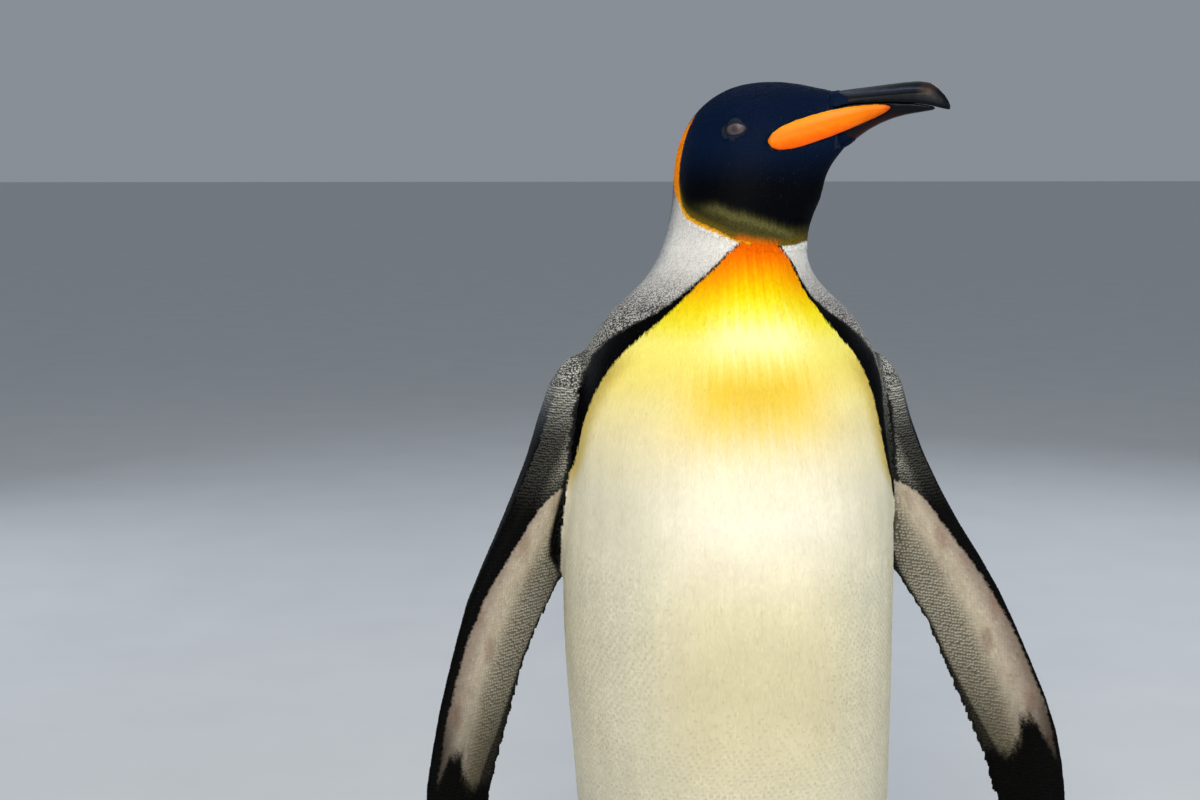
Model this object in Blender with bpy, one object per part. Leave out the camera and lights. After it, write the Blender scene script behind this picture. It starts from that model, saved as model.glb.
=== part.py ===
# A king penguin standing upright, modelled at life size as a museum model.
# Metres, +Z up, floor at z = 0. The bird's breast faces -Y, its left side is +X,
# and its head is turned towards its left.

import math

import bmesh
import bpy
import numpy as np
from mathutils import Vector
from mathutils.bvhtree import BVHTree

NAME = "king_penguin"

# Driving dimensions
GAP = 0.0003  # clearance between neighbouring pieces
AROUND = 34  # points round the trunk, neck and head
HEAD_TURN = 61.5  # degrees that the head is turned to the bird's left
NECK_CUT = 0.655  # height at which the neck meets the trunk
EYE_RADIUS = 0.0140
EYE_SUNK = 0.0117  # how far the eyeball's centre lies under the cheek's surface
EYE_AHEAD, EYE_HEIGHT = 0.0172, 0.8098
FLIPPER_TURN = {"left": 27.0, "right": 35.0}  # degrees that each inner face is turned inwards
SWAY = 0.007  # how far the feet and the lower belly stand to the bird's left of the neck
SWAY_TOP, SWAY_RANGE = 0.42, 0.26  # height at which that lean begins, and how far down it grows
RUMP_TOP, RUMP_RANGE = 0.14, 0.04  # height at which the body turns under, and how far down
RING_STEPS = {"trunk": 0.0265, "neck": 0.0110, "head": 0.0085}  # distance between rings
FOOT_SPREAD = 14.0  # degrees that each foot points outwards
FOOT_X, FOOT_Y = 0.080, 0.012  # where each ankle comes down
LEG_Y = 0.008  # where the leg's middle stands, a little ahead of the ankle
TOE_START = 0.004  # how far ahead of the ankle the toes meet

# Surface of each slot: colour and roughness
FINISHES = {
    "white_plumage": ((0.80, 0.77, 0.66), 0.6),
    "grey_plumage": ((0.42, 0.43, 0.45), 0.6),
    "black_plumage": ((0.015, 0.018, 0.028), 0.5),
    "bill_horn": ((0.020, 0.019, 0.022), 0.25),
    "plate_horn": ((0.95, 0.33, 0.01), 0.3),
    "eye": ((0.10, 0.07, 0.05), 0.08),
    "foot_skin": ((0.030, 0.028, 0.030), 0.55),
    "claw_horn": ((0.035, 0.032, 0.030), 0.3),
}

# Trunk: height, half-width, reach forward, reach back
TRUNK = (
    (0.0600, 0.036, 0.022, 0.024),
    (0.0640, 0.072, 0.048, 0.044),
    (0.0760, 0.097, 0.074, 0.064),
    (0.0980, 0.113, 0.097, 0.081),
    (0.1300, 0.123, 0.113, 0.092),
    (0.1700, 0.130, 0.123, 0.099),
    (0.2240, 0.136, 0.129, 0.103),
    (0.2790, 0.1385, 0.132, 0.106),
    (0.3340, 0.141, 0.133, 0.108),
    (0.3900, 0.1425, 0.131, 0.109),
    (0.4490, 0.143, 0.127, 0.109),
    (0.5030, 0.141, 0.121, 0.107),
    (0.5500, 0.138, 0.114, 0.104),
    (0.5850, 0.134, 0.107, 0.099),
    (0.6120, 0.129, 0.100, 0.093),
    (0.6330, 0.120, 0.093, 0.086),
    (0.6510, 0.109, 0.086, 0.080),
)

# Neck and head, in the head's middle plane: reach and height of the nape or crown line,
# reach and height of the throat line, half-width, turn in degrees
NECK_HEAD = (
    (-0.0735, 0.6680, 0.0795, 0.6680, 0.0925, 0.0),
    (-0.0685, 0.6810, 0.0745, 0.6800, 0.0790, 6.0),
    (-0.0640, 0.6940, 0.0725, 0.6920, 0.0690, 16.0),
    (-0.0600, 0.7090, 0.0690, 0.7050, 0.0618, 30.0),
    (-0.0565, 0.7240, 0.0662, 0.7180, 0.0572, 43.0),
    (-0.0530, 0.7400, 0.0668, 0.7300, 0.0544, 54.0),
    (-0.0502, 0.7550, 0.0695, 0.7400, 0.0526, HEAD_TURN),
    (-0.0490, 0.7710, 0.0733, 0.7490, 0.0510, HEAD_TURN),
    (-0.0480, 0.7870, 0.0765, 0.7570, 0.0490, HEAD_TURN),
    (-0.0435, 0.8030, 0.0780, 0.7640, 0.0468, HEAD_TURN),
    (-0.0360, 0.8170, 0.0795, 0.7700, 0.0447, HEAD_TURN),
    (-0.0260, 0.8290, 0.0815, 0.7750, 0.0425, HEAD_TURN),
    (-0.0140, 0.8380, 0.0840, 0.7795, 0.0400, HEAD_TURN),
    (0.0000, 0.8445, 0.0860, 0.7830, 0.0370, HEAD_TURN),
    (0.0160, 0.8480, 0.0885, 0.7860, 0.0330, HEAD_TURN),
    (0.0340, 0.8490, 0.0905, 0.7885, 0.0282, HEAD_TURN),
    (0.0520, 0.8475, 0.0925, 0.7910, 0.0234, HEAD_TURN),
    (0.0700, 0.8440, 0.0945, 0.7932, 0.0190, HEAD_TURN),
    (0.0880, 0.8400, 0.0970, 0.7955, 0.0152, HEAD_TURN),
)
NAPE_CUT = 0.7630  # height on the nape at which the head meets the neck

# Bill: reach and height of the upper line, reach and height of the lower line, half-width
BILL_UPPER = (
    (0.0883, 0.8400, 0.0911, 0.8266, 0.0138),
    (0.0960, 0.8410, 0.0970, 0.8282, 0.0124),
    (0.1050, 0.8420, 0.1055, 0.8296, 0.0112),
    (0.1200, 0.8436, 0.1200, 0.8304, 0.0098),
    (0.1320, 0.8450, 0.1320, 0.8306, 0.0088),
    (0.1440, 0.8463, 0.1440, 0.8304, 0.0080),
    (0.1560, 0.8470, 0.1555, 0.8297, 0.0072),
    (0.1650, 0.8460, 0.1640, 0.8284, 0.0062),
    (0.1715, 0.8415, 0.1705, 0.8268, 0.0050),
    (0.1765, 0.8360, 0.1750, 0.8256, 0.0036),
    (0.1798, 0.8310, 0.1785, 0.8249, 0.0022),
    (0.1813, 0.8270, 0.1806, 0.8246, 0.0010),
)
BILL_LOWER = (
    (0.0912, 0.8262, 0.0973, 0.7958, 0.0138),
    (0.0985, 0.8280, 0.1010, 0.7986, 0.0128),
    (0.1060, 0.8291, 0.1070, 0.8028, 0.0114),
    (0.1160, 0.8298, 0.1160, 0.8092, 0.0096),
    (0.1260, 0.8300, 0.1260, 0.8143, 0.0083),
    (0.1360, 0.8301, 0.1360, 0.8182, 0.0073),
    (0.1460, 0.8299, 0.1460, 0.8208, 0.0064),
    (0.1560, 0.8292, 0.1560, 0.8224, 0.0053),
    (0.1640, 0.8279, 0.1640, 0.8236, 0.0042),
    (0.1695, 0.8265, 0.1690, 0.8243, 0.0026),
)
BILL_AROUND = 9  # points over each half of the bill
BILL_ROUND = 0.85  # below 1 makes its sides fuller

# Orange plate: reach, height of its middle line, half-height
PLATE = (
    (0.0450, 0.8004, 0.0016),
    (0.0480, 0.8008, 0.0064),
    (0.0540, 0.8024, 0.0099),
    (0.0640, 0.8056, 0.0117),
    (0.0765, 0.8098, 0.0118),
    (0.0890, 0.8141, 0.0109),
    (0.1015, 0.8180, 0.0094),
    (0.1125, 0.8212, 0.0075),
    (0.1230, 0.8238, 0.0055),
    (0.1310, 0.8256, 0.0033),
    (0.1355, 0.8264, 0.0012),
)
PLATE_THICK = 0.0032
PLATE_TAPER = 0.6  # most thickness for each half-height near the plate's ends
PLATE_AROUND = 10
PLATE_MIDDLE, PLATE_REACH = 0.090, 0.045  # middle of the plate and half its length
PLATE_EDGES = 0.7  # share of the half-height at which the surface under its edges is taken

# Flipper: height, leading and trailing edge (left), the same (right), thickness, middle's y
FLIPPER = (
    (0.6230, 0.128, 0.098, 0.129, 0.098, 0.030, 0.012),
    (0.6100, 0.141, 0.086, 0.142, 0.086, 0.046, 0.012),
    (0.5940, 0.148, 0.080, 0.150, 0.080, 0.053, 0.012),
    (0.5700, 0.154, 0.083, 0.158, 0.083, 0.055, 0.011),
    (0.5450, 0.163, 0.089, 0.166, 0.089, 0.051, 0.010),
    (0.5150, 0.177, 0.099, 0.179, 0.099, 0.044, 0.007),
    (0.4850, 0.193, 0.113, 0.193, 0.112, 0.036, 0.004),
    (0.4550, 0.212, 0.131, 0.207, 0.126, 0.030, 0.001),
    (0.4250, 0.230, 0.152, 0.221, 0.142, 0.026, -0.002),
    (0.3950, 0.245, 0.173, 0.230, 0.158, 0.023, -0.005),
    (0.3650, 0.258, 0.187, 0.238, 0.172, 0.020, -0.009),
    (0.3350, 0.271, 0.199, 0.246, 0.181, 0.018, -0.013),
    (0.3000, 0.283, 0.215, 0.253, 0.191, 0.016, -0.018),
    (0.2650, 0.290, 0.229, 0.259, 0.201, 0.014, -0.022),
    (0.2300, 0.293, 0.238, 0.261, 0.209, 0.0125, -0.026),
    (0.2000, 0.292, 0.245, 0.259, 0.215, 0.011, -0.028),
    (0.1800, 0.288, 0.251, 0.255, 0.222, 0.0095, -0.029),
    (0.1660, 0.282, 0.259, 0.250, 0.231, 0.0080, -0.030),
    (0.1580, 0.275, 0.267, 0.244, 0.237, 0.0050, -0.030),
)
FLIPPER_LEVELS = (*np.linspace(0.158, 0.186, 4), *np.linspace(0.206, 0.598, 14), 0.6130, 0.6230)
FOIL_SHARES = (0.0, 0.04, 0.14, 0.30, 0.50, 0.72, 0.91, 1.0)  # from the leading to the trailing edge
FOIL_FULL, FOIL_EDGE = 0.47, 0.03  # half-thickness of the foil's swell and of its rim
FOIL_AHEAD, FOIL_ROUND = 0.62, 0.75  # how far ahead its thickest place lies, and how full it is

# Leg: height, middle x, half-width, half-depth
LEG = (
    (0.1300, 0.066, 0.036, 0.040),
    (0.1020, 0.072, 0.0435, 0.048),
    (0.0800, 0.0765, 0.0405, 0.046),
    (0.0620, 0.0790, 0.0345, 0.041),
    (0.0500, 0.0800, 0.0275, 0.033),
    (0.0420, 0.0802, 0.0195, 0.024),
    (0.0385, 0.0802, 0.0105, 0.013),
)

# Tail: y, height, half-width, half-thickness, from inside the rump to the floor
TAIL = (
    (0.0440, 0.1360, 0.044, 0.024),
    (0.0660, 0.1050, 0.052, 0.0235),
    (0.0860, 0.0760, 0.051, 0.0185),
    (0.1040, 0.0460, 0.044, 0.0125),
    (0.1180, 0.0200, 0.036, 0.0085),
    (0.1280, 0.0000, 0.029, 0.0065),
)
TAIL_AROUND = 20
TAIL_BOW = 0.10  # how far the outer feathers fold forward, as a share of the half-width
TAIL_FLAT = 1.18  # the last ring lies flat on the floor, so it is a little deeper

# Ankle and heel pad: reach ahead, height, half-width, half-depth
ANKLE = (
    (-0.004, 0.0600, 0.0150, 0.0150),
    (-0.006, 0.0450, 0.0155, 0.0155),
    (-0.006, 0.0320, 0.0165, 0.0165),
    (-0.002, 0.0200, 0.0185, 0.0165),
    (0.010, 0.0110, 0.0185, 0.0115),
    (0.024, 0.0085, 0.0160, 0.0085),
)
HEEL = (
    (-0.023, 0.0060, 0.0060, 0.0045),
    (-0.018, 0.0075, 0.0120, 0.0078),
    (-0.008, 0.0085, 0.0155, 0.0090),
    (0.006, 0.0085, 0.0165, 0.0090),
    (0.020, 0.0080, 0.0150, 0.0082),
)

# Toes: length to the claw, sideways angle in degrees, half-width at the root and at the end
TOES = (
    ("inner", 0.078, -27.0, 0.0118, 0.0086),
    ("middle", 0.097, 1.0, 0.0128, 0.0092),
    ("outer", 0.085, 28.0, 0.0118, 0.0086),
)
# Share of a toe's length and its fullness there, at the knuckles and between them
KNUCKLES = ((0.0, 1.0), (0.34, 1.06), (0.50, 0.94), (0.66, 1.05), (0.84, 1.03), (1.0, 0.55))
TOE_HEIGHT, TOE_DROP = 0.0072, 0.0012  # middle line at the root, and how much lower it ends
TOE_DEEP, TOE_THINNING = 0.0086, 0.22  # half-height at the root, and the share it loses

# Claw: distance beyond the toe's end, height, half-width, half-height
CLAW = (
    (-0.0060, 0.0062, 0.0040, 0.0036),
    (0.0000, 0.0066, 0.0040, 0.0037),
    (0.0070, 0.0064, 0.0036, 0.0034),
    (0.0140, 0.0048, 0.0027, 0.0027),
    (0.0200, 0.0026, 0.0016, 0.0016),
    (0.0232, 0.0012, 0.0006, 0.0006),
)

# Hind toe and its claw: reach ahead, sideways, height, half-width
HIND_TOE = (
    (-0.006, -0.0080, 0.0150, 0.0055),
    (-0.006, -0.0170, 0.0125, 0.0050),
    (-0.004, -0.0235, 0.0098, 0.0044),
    (-0.001, -0.0280, 0.0080, 0.0026),
)
HIND_CLAW = (
    (-0.003, -0.0250, 0.0090, 0.0021),
    (-0.001, -0.0290, 0.0078, 0.0020),
    (0.002, -0.0330, 0.0058, 0.0013),
    (0.005, -0.0355, 0.0034, 0.0005),
)

# Web: distance and angle of its edge, at the toes and midway between them
WEB = ((0.0733, -27.0), (0.0730, -13.5), (0.0912, 1.0), (0.0770, 14.5), (0.0799, 28.0))
WEB_HEIGHTS = (0.0016, 0.0075)

FLOOR_BLOCK = 0.4  # edge of the block under the floor that trims the soles


def clear_scene():
    for item in list(bpy.data.objects):
        bpy.data.objects.remove(item, do_unlink=True)


def make_collection(name):
    collection = bpy.data.collections.new(name)
    bpy.context.scene.collection.children.link(collection)
    return collection


def make_material(name):
    colour, roughness = FINISHES[name]
    material = bpy.data.materials.get(name) or bpy.data.materials.new(name)
    material.use_nodes = True
    shader = material.node_tree.nodes["Principled BSDF"]
    shader.inputs["Base Color"].default_value = (*colour, 1.0)
    shader.inputs["Roughness"].default_value = roughness
    return material


def smooth_between(places, values, at):
    """Values at the given places, on a curve that never overshoots its stations."""
    places, values = np.asarray(places, float), np.asarray(values, float)
    at = np.asarray(at, float)
    steps = np.diff(places)
    slopes = np.diff(values, axis=0) / steps[:, None]
    tangents = np.zeros_like(values)
    tangents[0], tangents[-1] = slopes[0], slopes[-1]
    product = slopes[:-1] * slopes[1:]
    total = slopes[:-1] + slopes[1:]
    total = np.where(np.abs(total) > 1e-12, total, 1.0)
    tangents[1:-1] = np.where(product > 0, 2 * product / total, 0.0)
    cell = np.clip(np.searchsorted(places, at, side="right") - 1, 0, len(steps) - 1)
    step = steps[cell][:, None]
    part = ((at - places[cell]) / steps[cell])[:, None]
    return (
        (1 + 2 * part) * (1 - part) ** 2 * values[cell]
        + part * (1 - part) ** 2 * step * tangents[cell]
        + part**2 * (3 - 2 * part) * values[cell + 1]
        + part**2 * (part - 1) * step * tangents[cell + 1]
    )


def add_object(name, mesh, collection, material):
    item = bpy.data.objects.new(name, mesh)
    collection.objects.link(item)
    if material is not None:
        mesh.materials.append(material)
    mesh.shade_smooth()
    mesh.set_sharp_from_angle(angle=math.radians(50))
    return item


def loft(name, rings, collection, material):
    """A closed body through rings of equal point counts, with flat ends."""
    bm = bmesh.new()
    rows = [[bm.verts.new(point) for point in ring] for ring in rings]
    count = len(rows[0])
    for low, high in zip(rows, rows[1:]):
        for i in range(count):
            j = (i + 1) % count
            bm.faces.new((low[i], low[j], high[j], high[i]))
    bm.faces.new(rows[0][::-1])
    bm.faces.new(rows[-1])
    bm.normal_update()
    if bm.calc_volume(signed=True) < 0:
        bmesh.ops.reverse_faces(bm, faces=bm.faces)
    mesh = bpy.data.meshes.new(name)
    bm.to_mesh(mesh)
    bm.free()
    return add_object(name, mesh, collection, material)


def cut(item, cutter):
    """Takes the cutter's shape out of the item and keeps the cutter as a wire helper."""
    modifier = item.modifiers.new("cut_" + cutter.name, "BOOLEAN")
    modifier.operation = "DIFFERENCE"
    modifier.solver = "EXACT"
    modifier.object = cutter
    cutter.hide_render = True
    cutter.display_type = "WIRE"


def join(item, other):
    modifier = item.modifiers.new("join_" + other.name, "BOOLEAN")
    modifier.operation = "UNION"
    modifier.solver = "EXACT"
    modifier.object = other
    other.hide_render = True
    other.display_type = "WIRE"


# Trunk, neck and head: one line of rings, parted twice

def body_stations():
    """Rows of back reach, back height, front reach, front height, half-width, widest place, turn."""
    rows = [(-b, z, f, z, a, b / (f + b), 0.0) for z, a, f, b in TRUNK]
    for qb, zb, qf, zf, w, turn in NECK_HEAD:
        widest = 0.5 if turn > 30 else -qb / (qf - qb)
        rows.append((qb, zb, qf, zf, w, widest, turn))
    rows = np.array(rows)
    middles = (rows[:, 0:2] + rows[:, 2:4]) / 2
    along = np.concatenate([[0], np.cumsum(np.hypot(*np.diff(middles, axis=0).T))])
    return along, rows


ALONG, STATIONS = body_stations()


def body_ring(at, margin=0.0):
    """Points of the ring that lies this far along the body, grown by a margin."""
    qb, zb, qf, zf, w, widest, turn = smooth_between(ALONG, STATIONS, [at])[0]
    back, front = np.array([qb, zb]), np.array([qf, zf])
    middle = back + (front - back) * widest
    to_front, to_back = front - middle, back - middle
    to_front *= 1 + margin / np.linalg.norm(to_front)
    to_back *= 1 + margin / np.linalg.norm(to_back)
    ahead, left = head_axes(turn)
    ring = []
    for angle in np.linspace(0, 2 * math.pi, AROUND, endpoint=False):
        c, s = math.cos(angle), math.sin(angle)
        q, z = middle + (to_front * c if c > 0 else to_back * -c)
        drop = margin * min(1.0, max(0.0, (RUMP_TOP - z) / RUMP_RANGE))
        ring.append(ahead * q + left * s * (w + margin) + np.array([sway(z), 0, z - drop]))
    return ring


def sway(height):
    """Sideways lean of the trunk, from nothing at the breast to its full amount at the rump."""
    part = min(1.0, max(0.0, (SWAY_TOP - height) / SWAY_RANGE))
    return SWAY * part * part * (3 - 2 * part)


def head_axes(turn=HEAD_TURN):
    """Directions straight ahead and to the left of a part that is turned by this much."""
    c, s = math.cos(math.radians(turn)), math.sin(math.radians(turn))
    return np.array([s, -c, 0.0]), np.array([c, s, 0.0])


def head_point(ahead, sideways, height):
    forward, left = head_axes()
    return forward * ahead + left * sideways + np.array([0, 0, height])


def along_at_height(column, height):
    return float(np.interp(height, STATIONS[:, column], ALONG))


def spaced(start, end, step):
    return list(np.linspace(start, end, max(2, round((end - start) / step) + 1)))


def body_pieces(collection, cutters):
    low, high = along_at_height(1, NECK_CUT), along_at_height(1, NAPE_CUT)
    trunk_places = list(ALONG[:3]) + spaced(ALONG[3], low - GAP / 2, RING_STEPS["trunk"])
    neck_places = spaced(low + GAP / 2, high - GAP / 2, RING_STEPS["neck"])
    head_places = spaced(high + GAP / 2, ALONG[-1], RING_STEPS["head"])
    trunk_rings = [body_ring(place) for place in trunk_places]
    neck_rings = [body_ring(place) for place in neck_places]
    head_rings = [body_ring(place) for place in head_places]
    loft("trunk", trunk_rings, collection, make_material("white_plumage"))
    loft("neck", neck_rings, collection, make_material("grey_plumage"))
    head = loft("head", head_rings, collection, make_material("black_plumage"))
    grown_rings = [body_ring(place, GAP) for place in trunk_places]
    return head, loft("trunk_clearance", grown_rings, cutters, None)


# Bill, plates and eyes

def bill_rings(table, upper):
    """Sections of one half of the bill: a ridge above the gape, or a keel below it."""
    rings = []
    for qt, zt, qb, zb, w in table:
        top, bottom = np.array([qt, zt]), np.array([qb, zb])
        ring = []
        for angle in np.linspace(0, math.pi, BILL_AROUND):
            across = math.cos(angle) * w
            lift = max(0.0, math.sin(angle)) ** BILL_ROUND
            q, z = bottom + (top - bottom) * lift if upper else top + (bottom - top) * lift
            ring.append(head_point(q, across, z))
        rings.append(ring)
    return rings


def plate_rings(side, surface, margin=0.0):
    """Sections of the long leaf-shaped plate, half sunk into the cheek and the lower bill."""
    left = head_axes()[1]
    outward = Vector(left * side)
    table = np.array(PLATE)
    fits = []
    for part in (PLATE_EDGES, 0.0, -PLATE_EDGES):  # upper edge, middle and lower edge
        known = []
        for q, z, half in table:
            base = Vector(head_point(q, 0.0, z + part * half))
            hit = surface.ray_cast(base + outward * 0.12, -outward)[0]
            if hit is not None:
                known.append((q, (hit - base).dot(outward)))
        known = np.array(known)
        fits.append(np.polyfit(known[:, 0], known[:, 1], 3))
    rings = []
    for q, z, half in table:
        high_side, middle, low_side = (float(np.polyval(fit, q)) for fit in fits)
        out = (high_side + 2 * middle + low_side) / 4
        lean = math.atan2(high_side - low_side, 2 * PLATE_EDGES * half)
        thick = min(PLATE_THICK, half * PLATE_TAPER) + margin
        high = half + margin
        shift = margin * math.copysign(((q - PLATE_MIDDLE) / PLATE_REACH) ** 2, q - PLATE_MIDDLE)
        ring = []
        for angle in np.linspace(0, 2 * math.pi, PLATE_AROUND, endpoint=False):
            u, v = math.cos(angle) * high, math.sin(angle) * thick
            across = out + v * math.cos(lean) + u * math.sin(lean)
            up = u * math.cos(lean) - v * math.sin(lean)
            ring.append(head_point(q + shift, side * across, z + up))
        rings.append(ring)
    return rings


def eyeball(name, middle, radius, collection, material):
    bm = bmesh.new()
    bmesh.ops.create_uvsphere(bm, u_segments=12, v_segments=8, radius=radius)
    mesh = bpy.data.meshes.new(name)
    bm.to_mesh(mesh)
    bm.free()
    item = add_object(name, mesh, collection, material)
    item.location = middle
    return item


def head_details(head, collection, cutters):
    """The bill, and on each side its plate and the eye, let into the head."""
    black = make_material("bill_horn")
    loft("bill_upper", bill_rings(BILL_UPPER, True), collection, black)
    lower = loft("bill_lower", bill_rings(BILL_LOWER, False), collection, black)
    bm = bmesh.new()
    bm.from_mesh(head.data)
    bm.from_mesh(lower.data)
    surface = BVHTree.FromBMesh(bm)
    bm.free()
    left = head_axes()[1]
    for side, word in ((1, "left"), (-1, "right")):
        rings = plate_rings(side, surface)
        loft(f"bill_plate_{word}", rings, collection, make_material("plate_horn"))
        recess = loft(f"plate_recess_{word}", plate_rings(side, surface, GAP), cutters, None)
        cut(head, recess)
        cut(lower, recess)
        outward = Vector(left * side)
        centre = Vector(head_point(EYE_AHEAD, 0.0, EYE_HEIGHT))
        cheek = surface.ray_cast(centre + outward * 0.12, -outward)[0]
        middle = cheek - outward * EYE_SUNK
        eyeball(f"eye_{word}", middle, EYE_RADIUS, collection, make_material("eye"))
        cut(head, eyeball(f"eye_socket_{word}", middle, EYE_RADIUS + GAP, cutters, None))


# Flippers

def foil_half(share):
    """Half-thickness of the foil at this share of its chord."""
    if share in (0.0, 1.0):
        return 0.0
    return FOIL_FULL * math.sin(math.pi * share**FOIL_AHEAD) ** FOIL_ROUND + FOIL_EDGE


def flipper(word, side, grown, collection):
    """A tapering foil from the shoulder to the tip, with its inner face turned forward."""
    turn = math.radians(FLIPPER_TURN[word])
    lead_column, trail_column = (1, 2) if side > 0 else (3, 4)
    table = np.array(FLIPPER)[::-1]
    places = np.array(FLIPPER_LEVELS)
    rows = smooth_between(table[:, 0], table[:, (lead_column, trail_column, 5, 6)], places)
    along = np.array([side * math.cos(turn), -math.sin(turn), 0.0])
    across = np.array([-side * math.sin(turn), -math.cos(turn), 0.0])
    rings = []
    for z, (lead, trail, thick, y) in zip(places, rows):
        chord = (lead - trail) / math.cos(turn)
        middle = np.array([side * (lead + trail) / 2, y, z])
        line = [middle + along * chord * (0.5 - share) for share in FOIL_SHARES]
        swell = [across * thick * foil_half(share) for share in FOIL_SHARES]
        inner = [p + out for p, out in zip(line, swell)]
        outer = [p - out for p, out in zip(line, swell)]
        rings.append(inner + outer[-2:0:-1])
    cut(loft(f"flipper_{word}", rings, collection, make_material("black_plumage")), grown)


# Legs, feet, claws and tail

def oval(x, y, z, wide, deep, count=18):
    angles = np.linspace(0, 2 * math.pi, count, endpoint=False)
    return [np.array([x + wide * math.cos(a), y + deep * math.sin(a), z]) for a in angles]


def leg_rings(side, margin=0.0):
    rings = []
    for z, x, wide, deep in LEG:
        drop = margin if z == LEG[-1][0] else 0.0
        rings.append(oval(SWAY + side * x, LEG_Y, z - drop, wide + margin, deep + margin))
    return rings


def tube_rings(points, sizes, count=10, sideways=None):
    """Round sections along a path, each with its own half-width and half-height."""
    points = [np.array(p, float) for p in points]
    rings = []
    for i, (point, (wide, high)) in enumerate(zip(points, sizes)):
        way = points[min(i + 1, len(points) - 1)] - points[max(i - 1, 0)]
        way /= np.linalg.norm(way)
        if sideways is None:
            across = np.cross(way, [0, 0, 1.0])
        else:
            across = sideways - way * np.dot(sideways, way)
        across /= np.linalg.norm(across)
        up = np.cross(across, way)
        ring = []
        for a in np.linspace(0, 2 * math.pi, count, endpoint=False):
            ring.append(point + across * wide * math.cos(a) + up * high * math.sin(a))
        rings.append(ring)
    return rings


def foot_place(side, ahead, sideways, height):
    """A point of the foot, from its own forward and outward distances."""
    spread = math.radians(FOOT_SPREAD)
    forward = np.array([side * math.sin(spread), -math.cos(spread), 0.0])
    outward = np.array([side * math.cos(spread), math.sin(spread), 0.0])
    ankle = np.array([SWAY + side * FOOT_X, FOOT_Y, height])
    return ankle + forward * ahead + outward * sideways


def toe_point(side, angle, distance, height):
    ahead = distance * math.cos(math.radians(angle))
    sideways = distance * math.sin(math.radians(angle))
    return foot_place(side, TOE_START + ahead, sideways, height)


def claw(name, path, sizes, item, collection, cutters):
    """One claw, and its socket in the foot."""
    loft(f"claw_{name}", tube_rings(path, sizes, 6), collection, make_material("claw_horn"))
    back = path[0] - path[1]
    hole_path = [path[0] + back * (GAP / np.linalg.norm(back))] + path[1:]
    hole_sizes = [(wide + GAP, high + GAP) for wide, high in sizes]
    cut(item, loft(f"claw_socket_{name}", tube_rings(hole_path, hole_sizes, 6), cutters, None))


def pad(name, side, table, sideways, count, collection, material):
    """A round piece of the foot along its own middle line."""
    path = [foot_place(side, ahead, 0.0, z) for ahead, z, wide, high in table]
    sizes = [(wide, high) for ahead, z, wide, high in table]
    return loft(name, tube_rings(path, sizes, count, sideways), collection, material)


def foot(word, side, grown_leg, collection, cutters):
    """Ankle, three webbed toes and a small hind toe as one body, with sockets for the claws."""
    outward = foot_place(side, 0.0, 1.0, 0.0) - foot_place(side, 0.0, 0.0, 0.0)
    skin = make_material("foot_skin")
    item = pad(f"foot_{word}", side, ANKLE, outward, 12, collection, skin)
    join(item, pad(f"heel_{word}", side, HEEL, None, 10, cutters, None))
    for toe, length, angle, root, end in TOES:
        path, sizes = [], []
        for share, full in KNUCKLES:
            height = TOE_HEIGHT - TOE_DROP * share
            path.append(toe_point(side, angle, length * share, height))
            wide = root + (end - root) * share
            sizes.append((wide * full, TOE_DEEP * (1 - TOE_THINNING * share) * full))
        join(item, loft(f"toe_{toe}_{word}", tube_rings(path, sizes, 8), cutters, None))
    web = []
    for height in WEB_HEIGHTS:
        edge = [toe_point(side, angle, distance, height) for distance, angle in WEB]
        web.append([foot_place(side, 0.0, 0.0, height)] + edge)
    join(item, loft(f"web_{word}", web, cutters, None))
    hind = [foot_place(side, ahead, out, z) for ahead, out, z, half in HIND_TOE]
    hind_sizes = [(half, half) for ahead, out, z, half in HIND_TOE]
    join(item, loft(f"hind_toe_{word}", tube_rings(hind, hind_sizes, 6), cutters, None))
    for toe, length, angle, root, end in TOES:
        path = [toe_point(side, angle, length + beyond, z) for beyond, z, wide, high in CLAW]
        sizes = [(wide, high) for beyond, z, wide, high in CLAW]
        claw(f"{toe}_{word}", path, sizes, item, collection, cutters)
    path = [foot_place(side, ahead, out, z) for ahead, out, z, half in HIND_CLAW]
    sizes = [(half, half) for ahead, out, z, half in HIND_CLAW]
    claw(f"hind_{word}", path, sizes, item, collection, cutters)
    cut(item, grown_leg)
    cut(item, floor_block(word, cutters))


def floor_block(word, cutters):
    """What lies under the floor, so that the soles end in flats at one level."""
    bm = bmesh.new()
    bmesh.ops.create_cube(bm, size=FLOOR_BLOCK)
    bmesh.ops.translate(bm, verts=bm.verts, vec=(0.0, 0.0, -FLOOR_BLOCK / 2))
    mesh = bpy.data.meshes.new(f"under_floor_{word}")
    bm.to_mesh(mesh)
    bm.free()
    return add_object(mesh.name, mesh, cutters, None)


def tail(grown, collection):
    """A stiff wedge of tail feathers whose tip rests on the floor."""
    points = [np.array([SWAY, y, z]) for y, z, wide, thick in TAIL]
    rings = []
    for i, (y, z, wide, thick) in enumerate(TAIL):
        way = points[min(i + 1, len(points) - 1)] - points[max(i - 1, 0)]
        way /= np.linalg.norm(way)
        out = np.array([0.0, -way[2], way[1]])
        if i == len(TAIL) - 1:
            out = np.array([0.0, TAIL_FLAT, 0.0])
        ring = []
        for angle in np.linspace(0, 2 * math.pi, TAIL_AROUND, endpoint=False):
            c, s = math.cos(angle), math.sin(angle)
            across = np.array([wide * c, 0.0, 0.0])
            ring.append(points[i] + across + out * (thick * s - TAIL_BOW * wide * c * c))
        rings.append(ring)
    cut(loft("tail", rings, collection, make_material("black_plumage")), grown)


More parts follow.
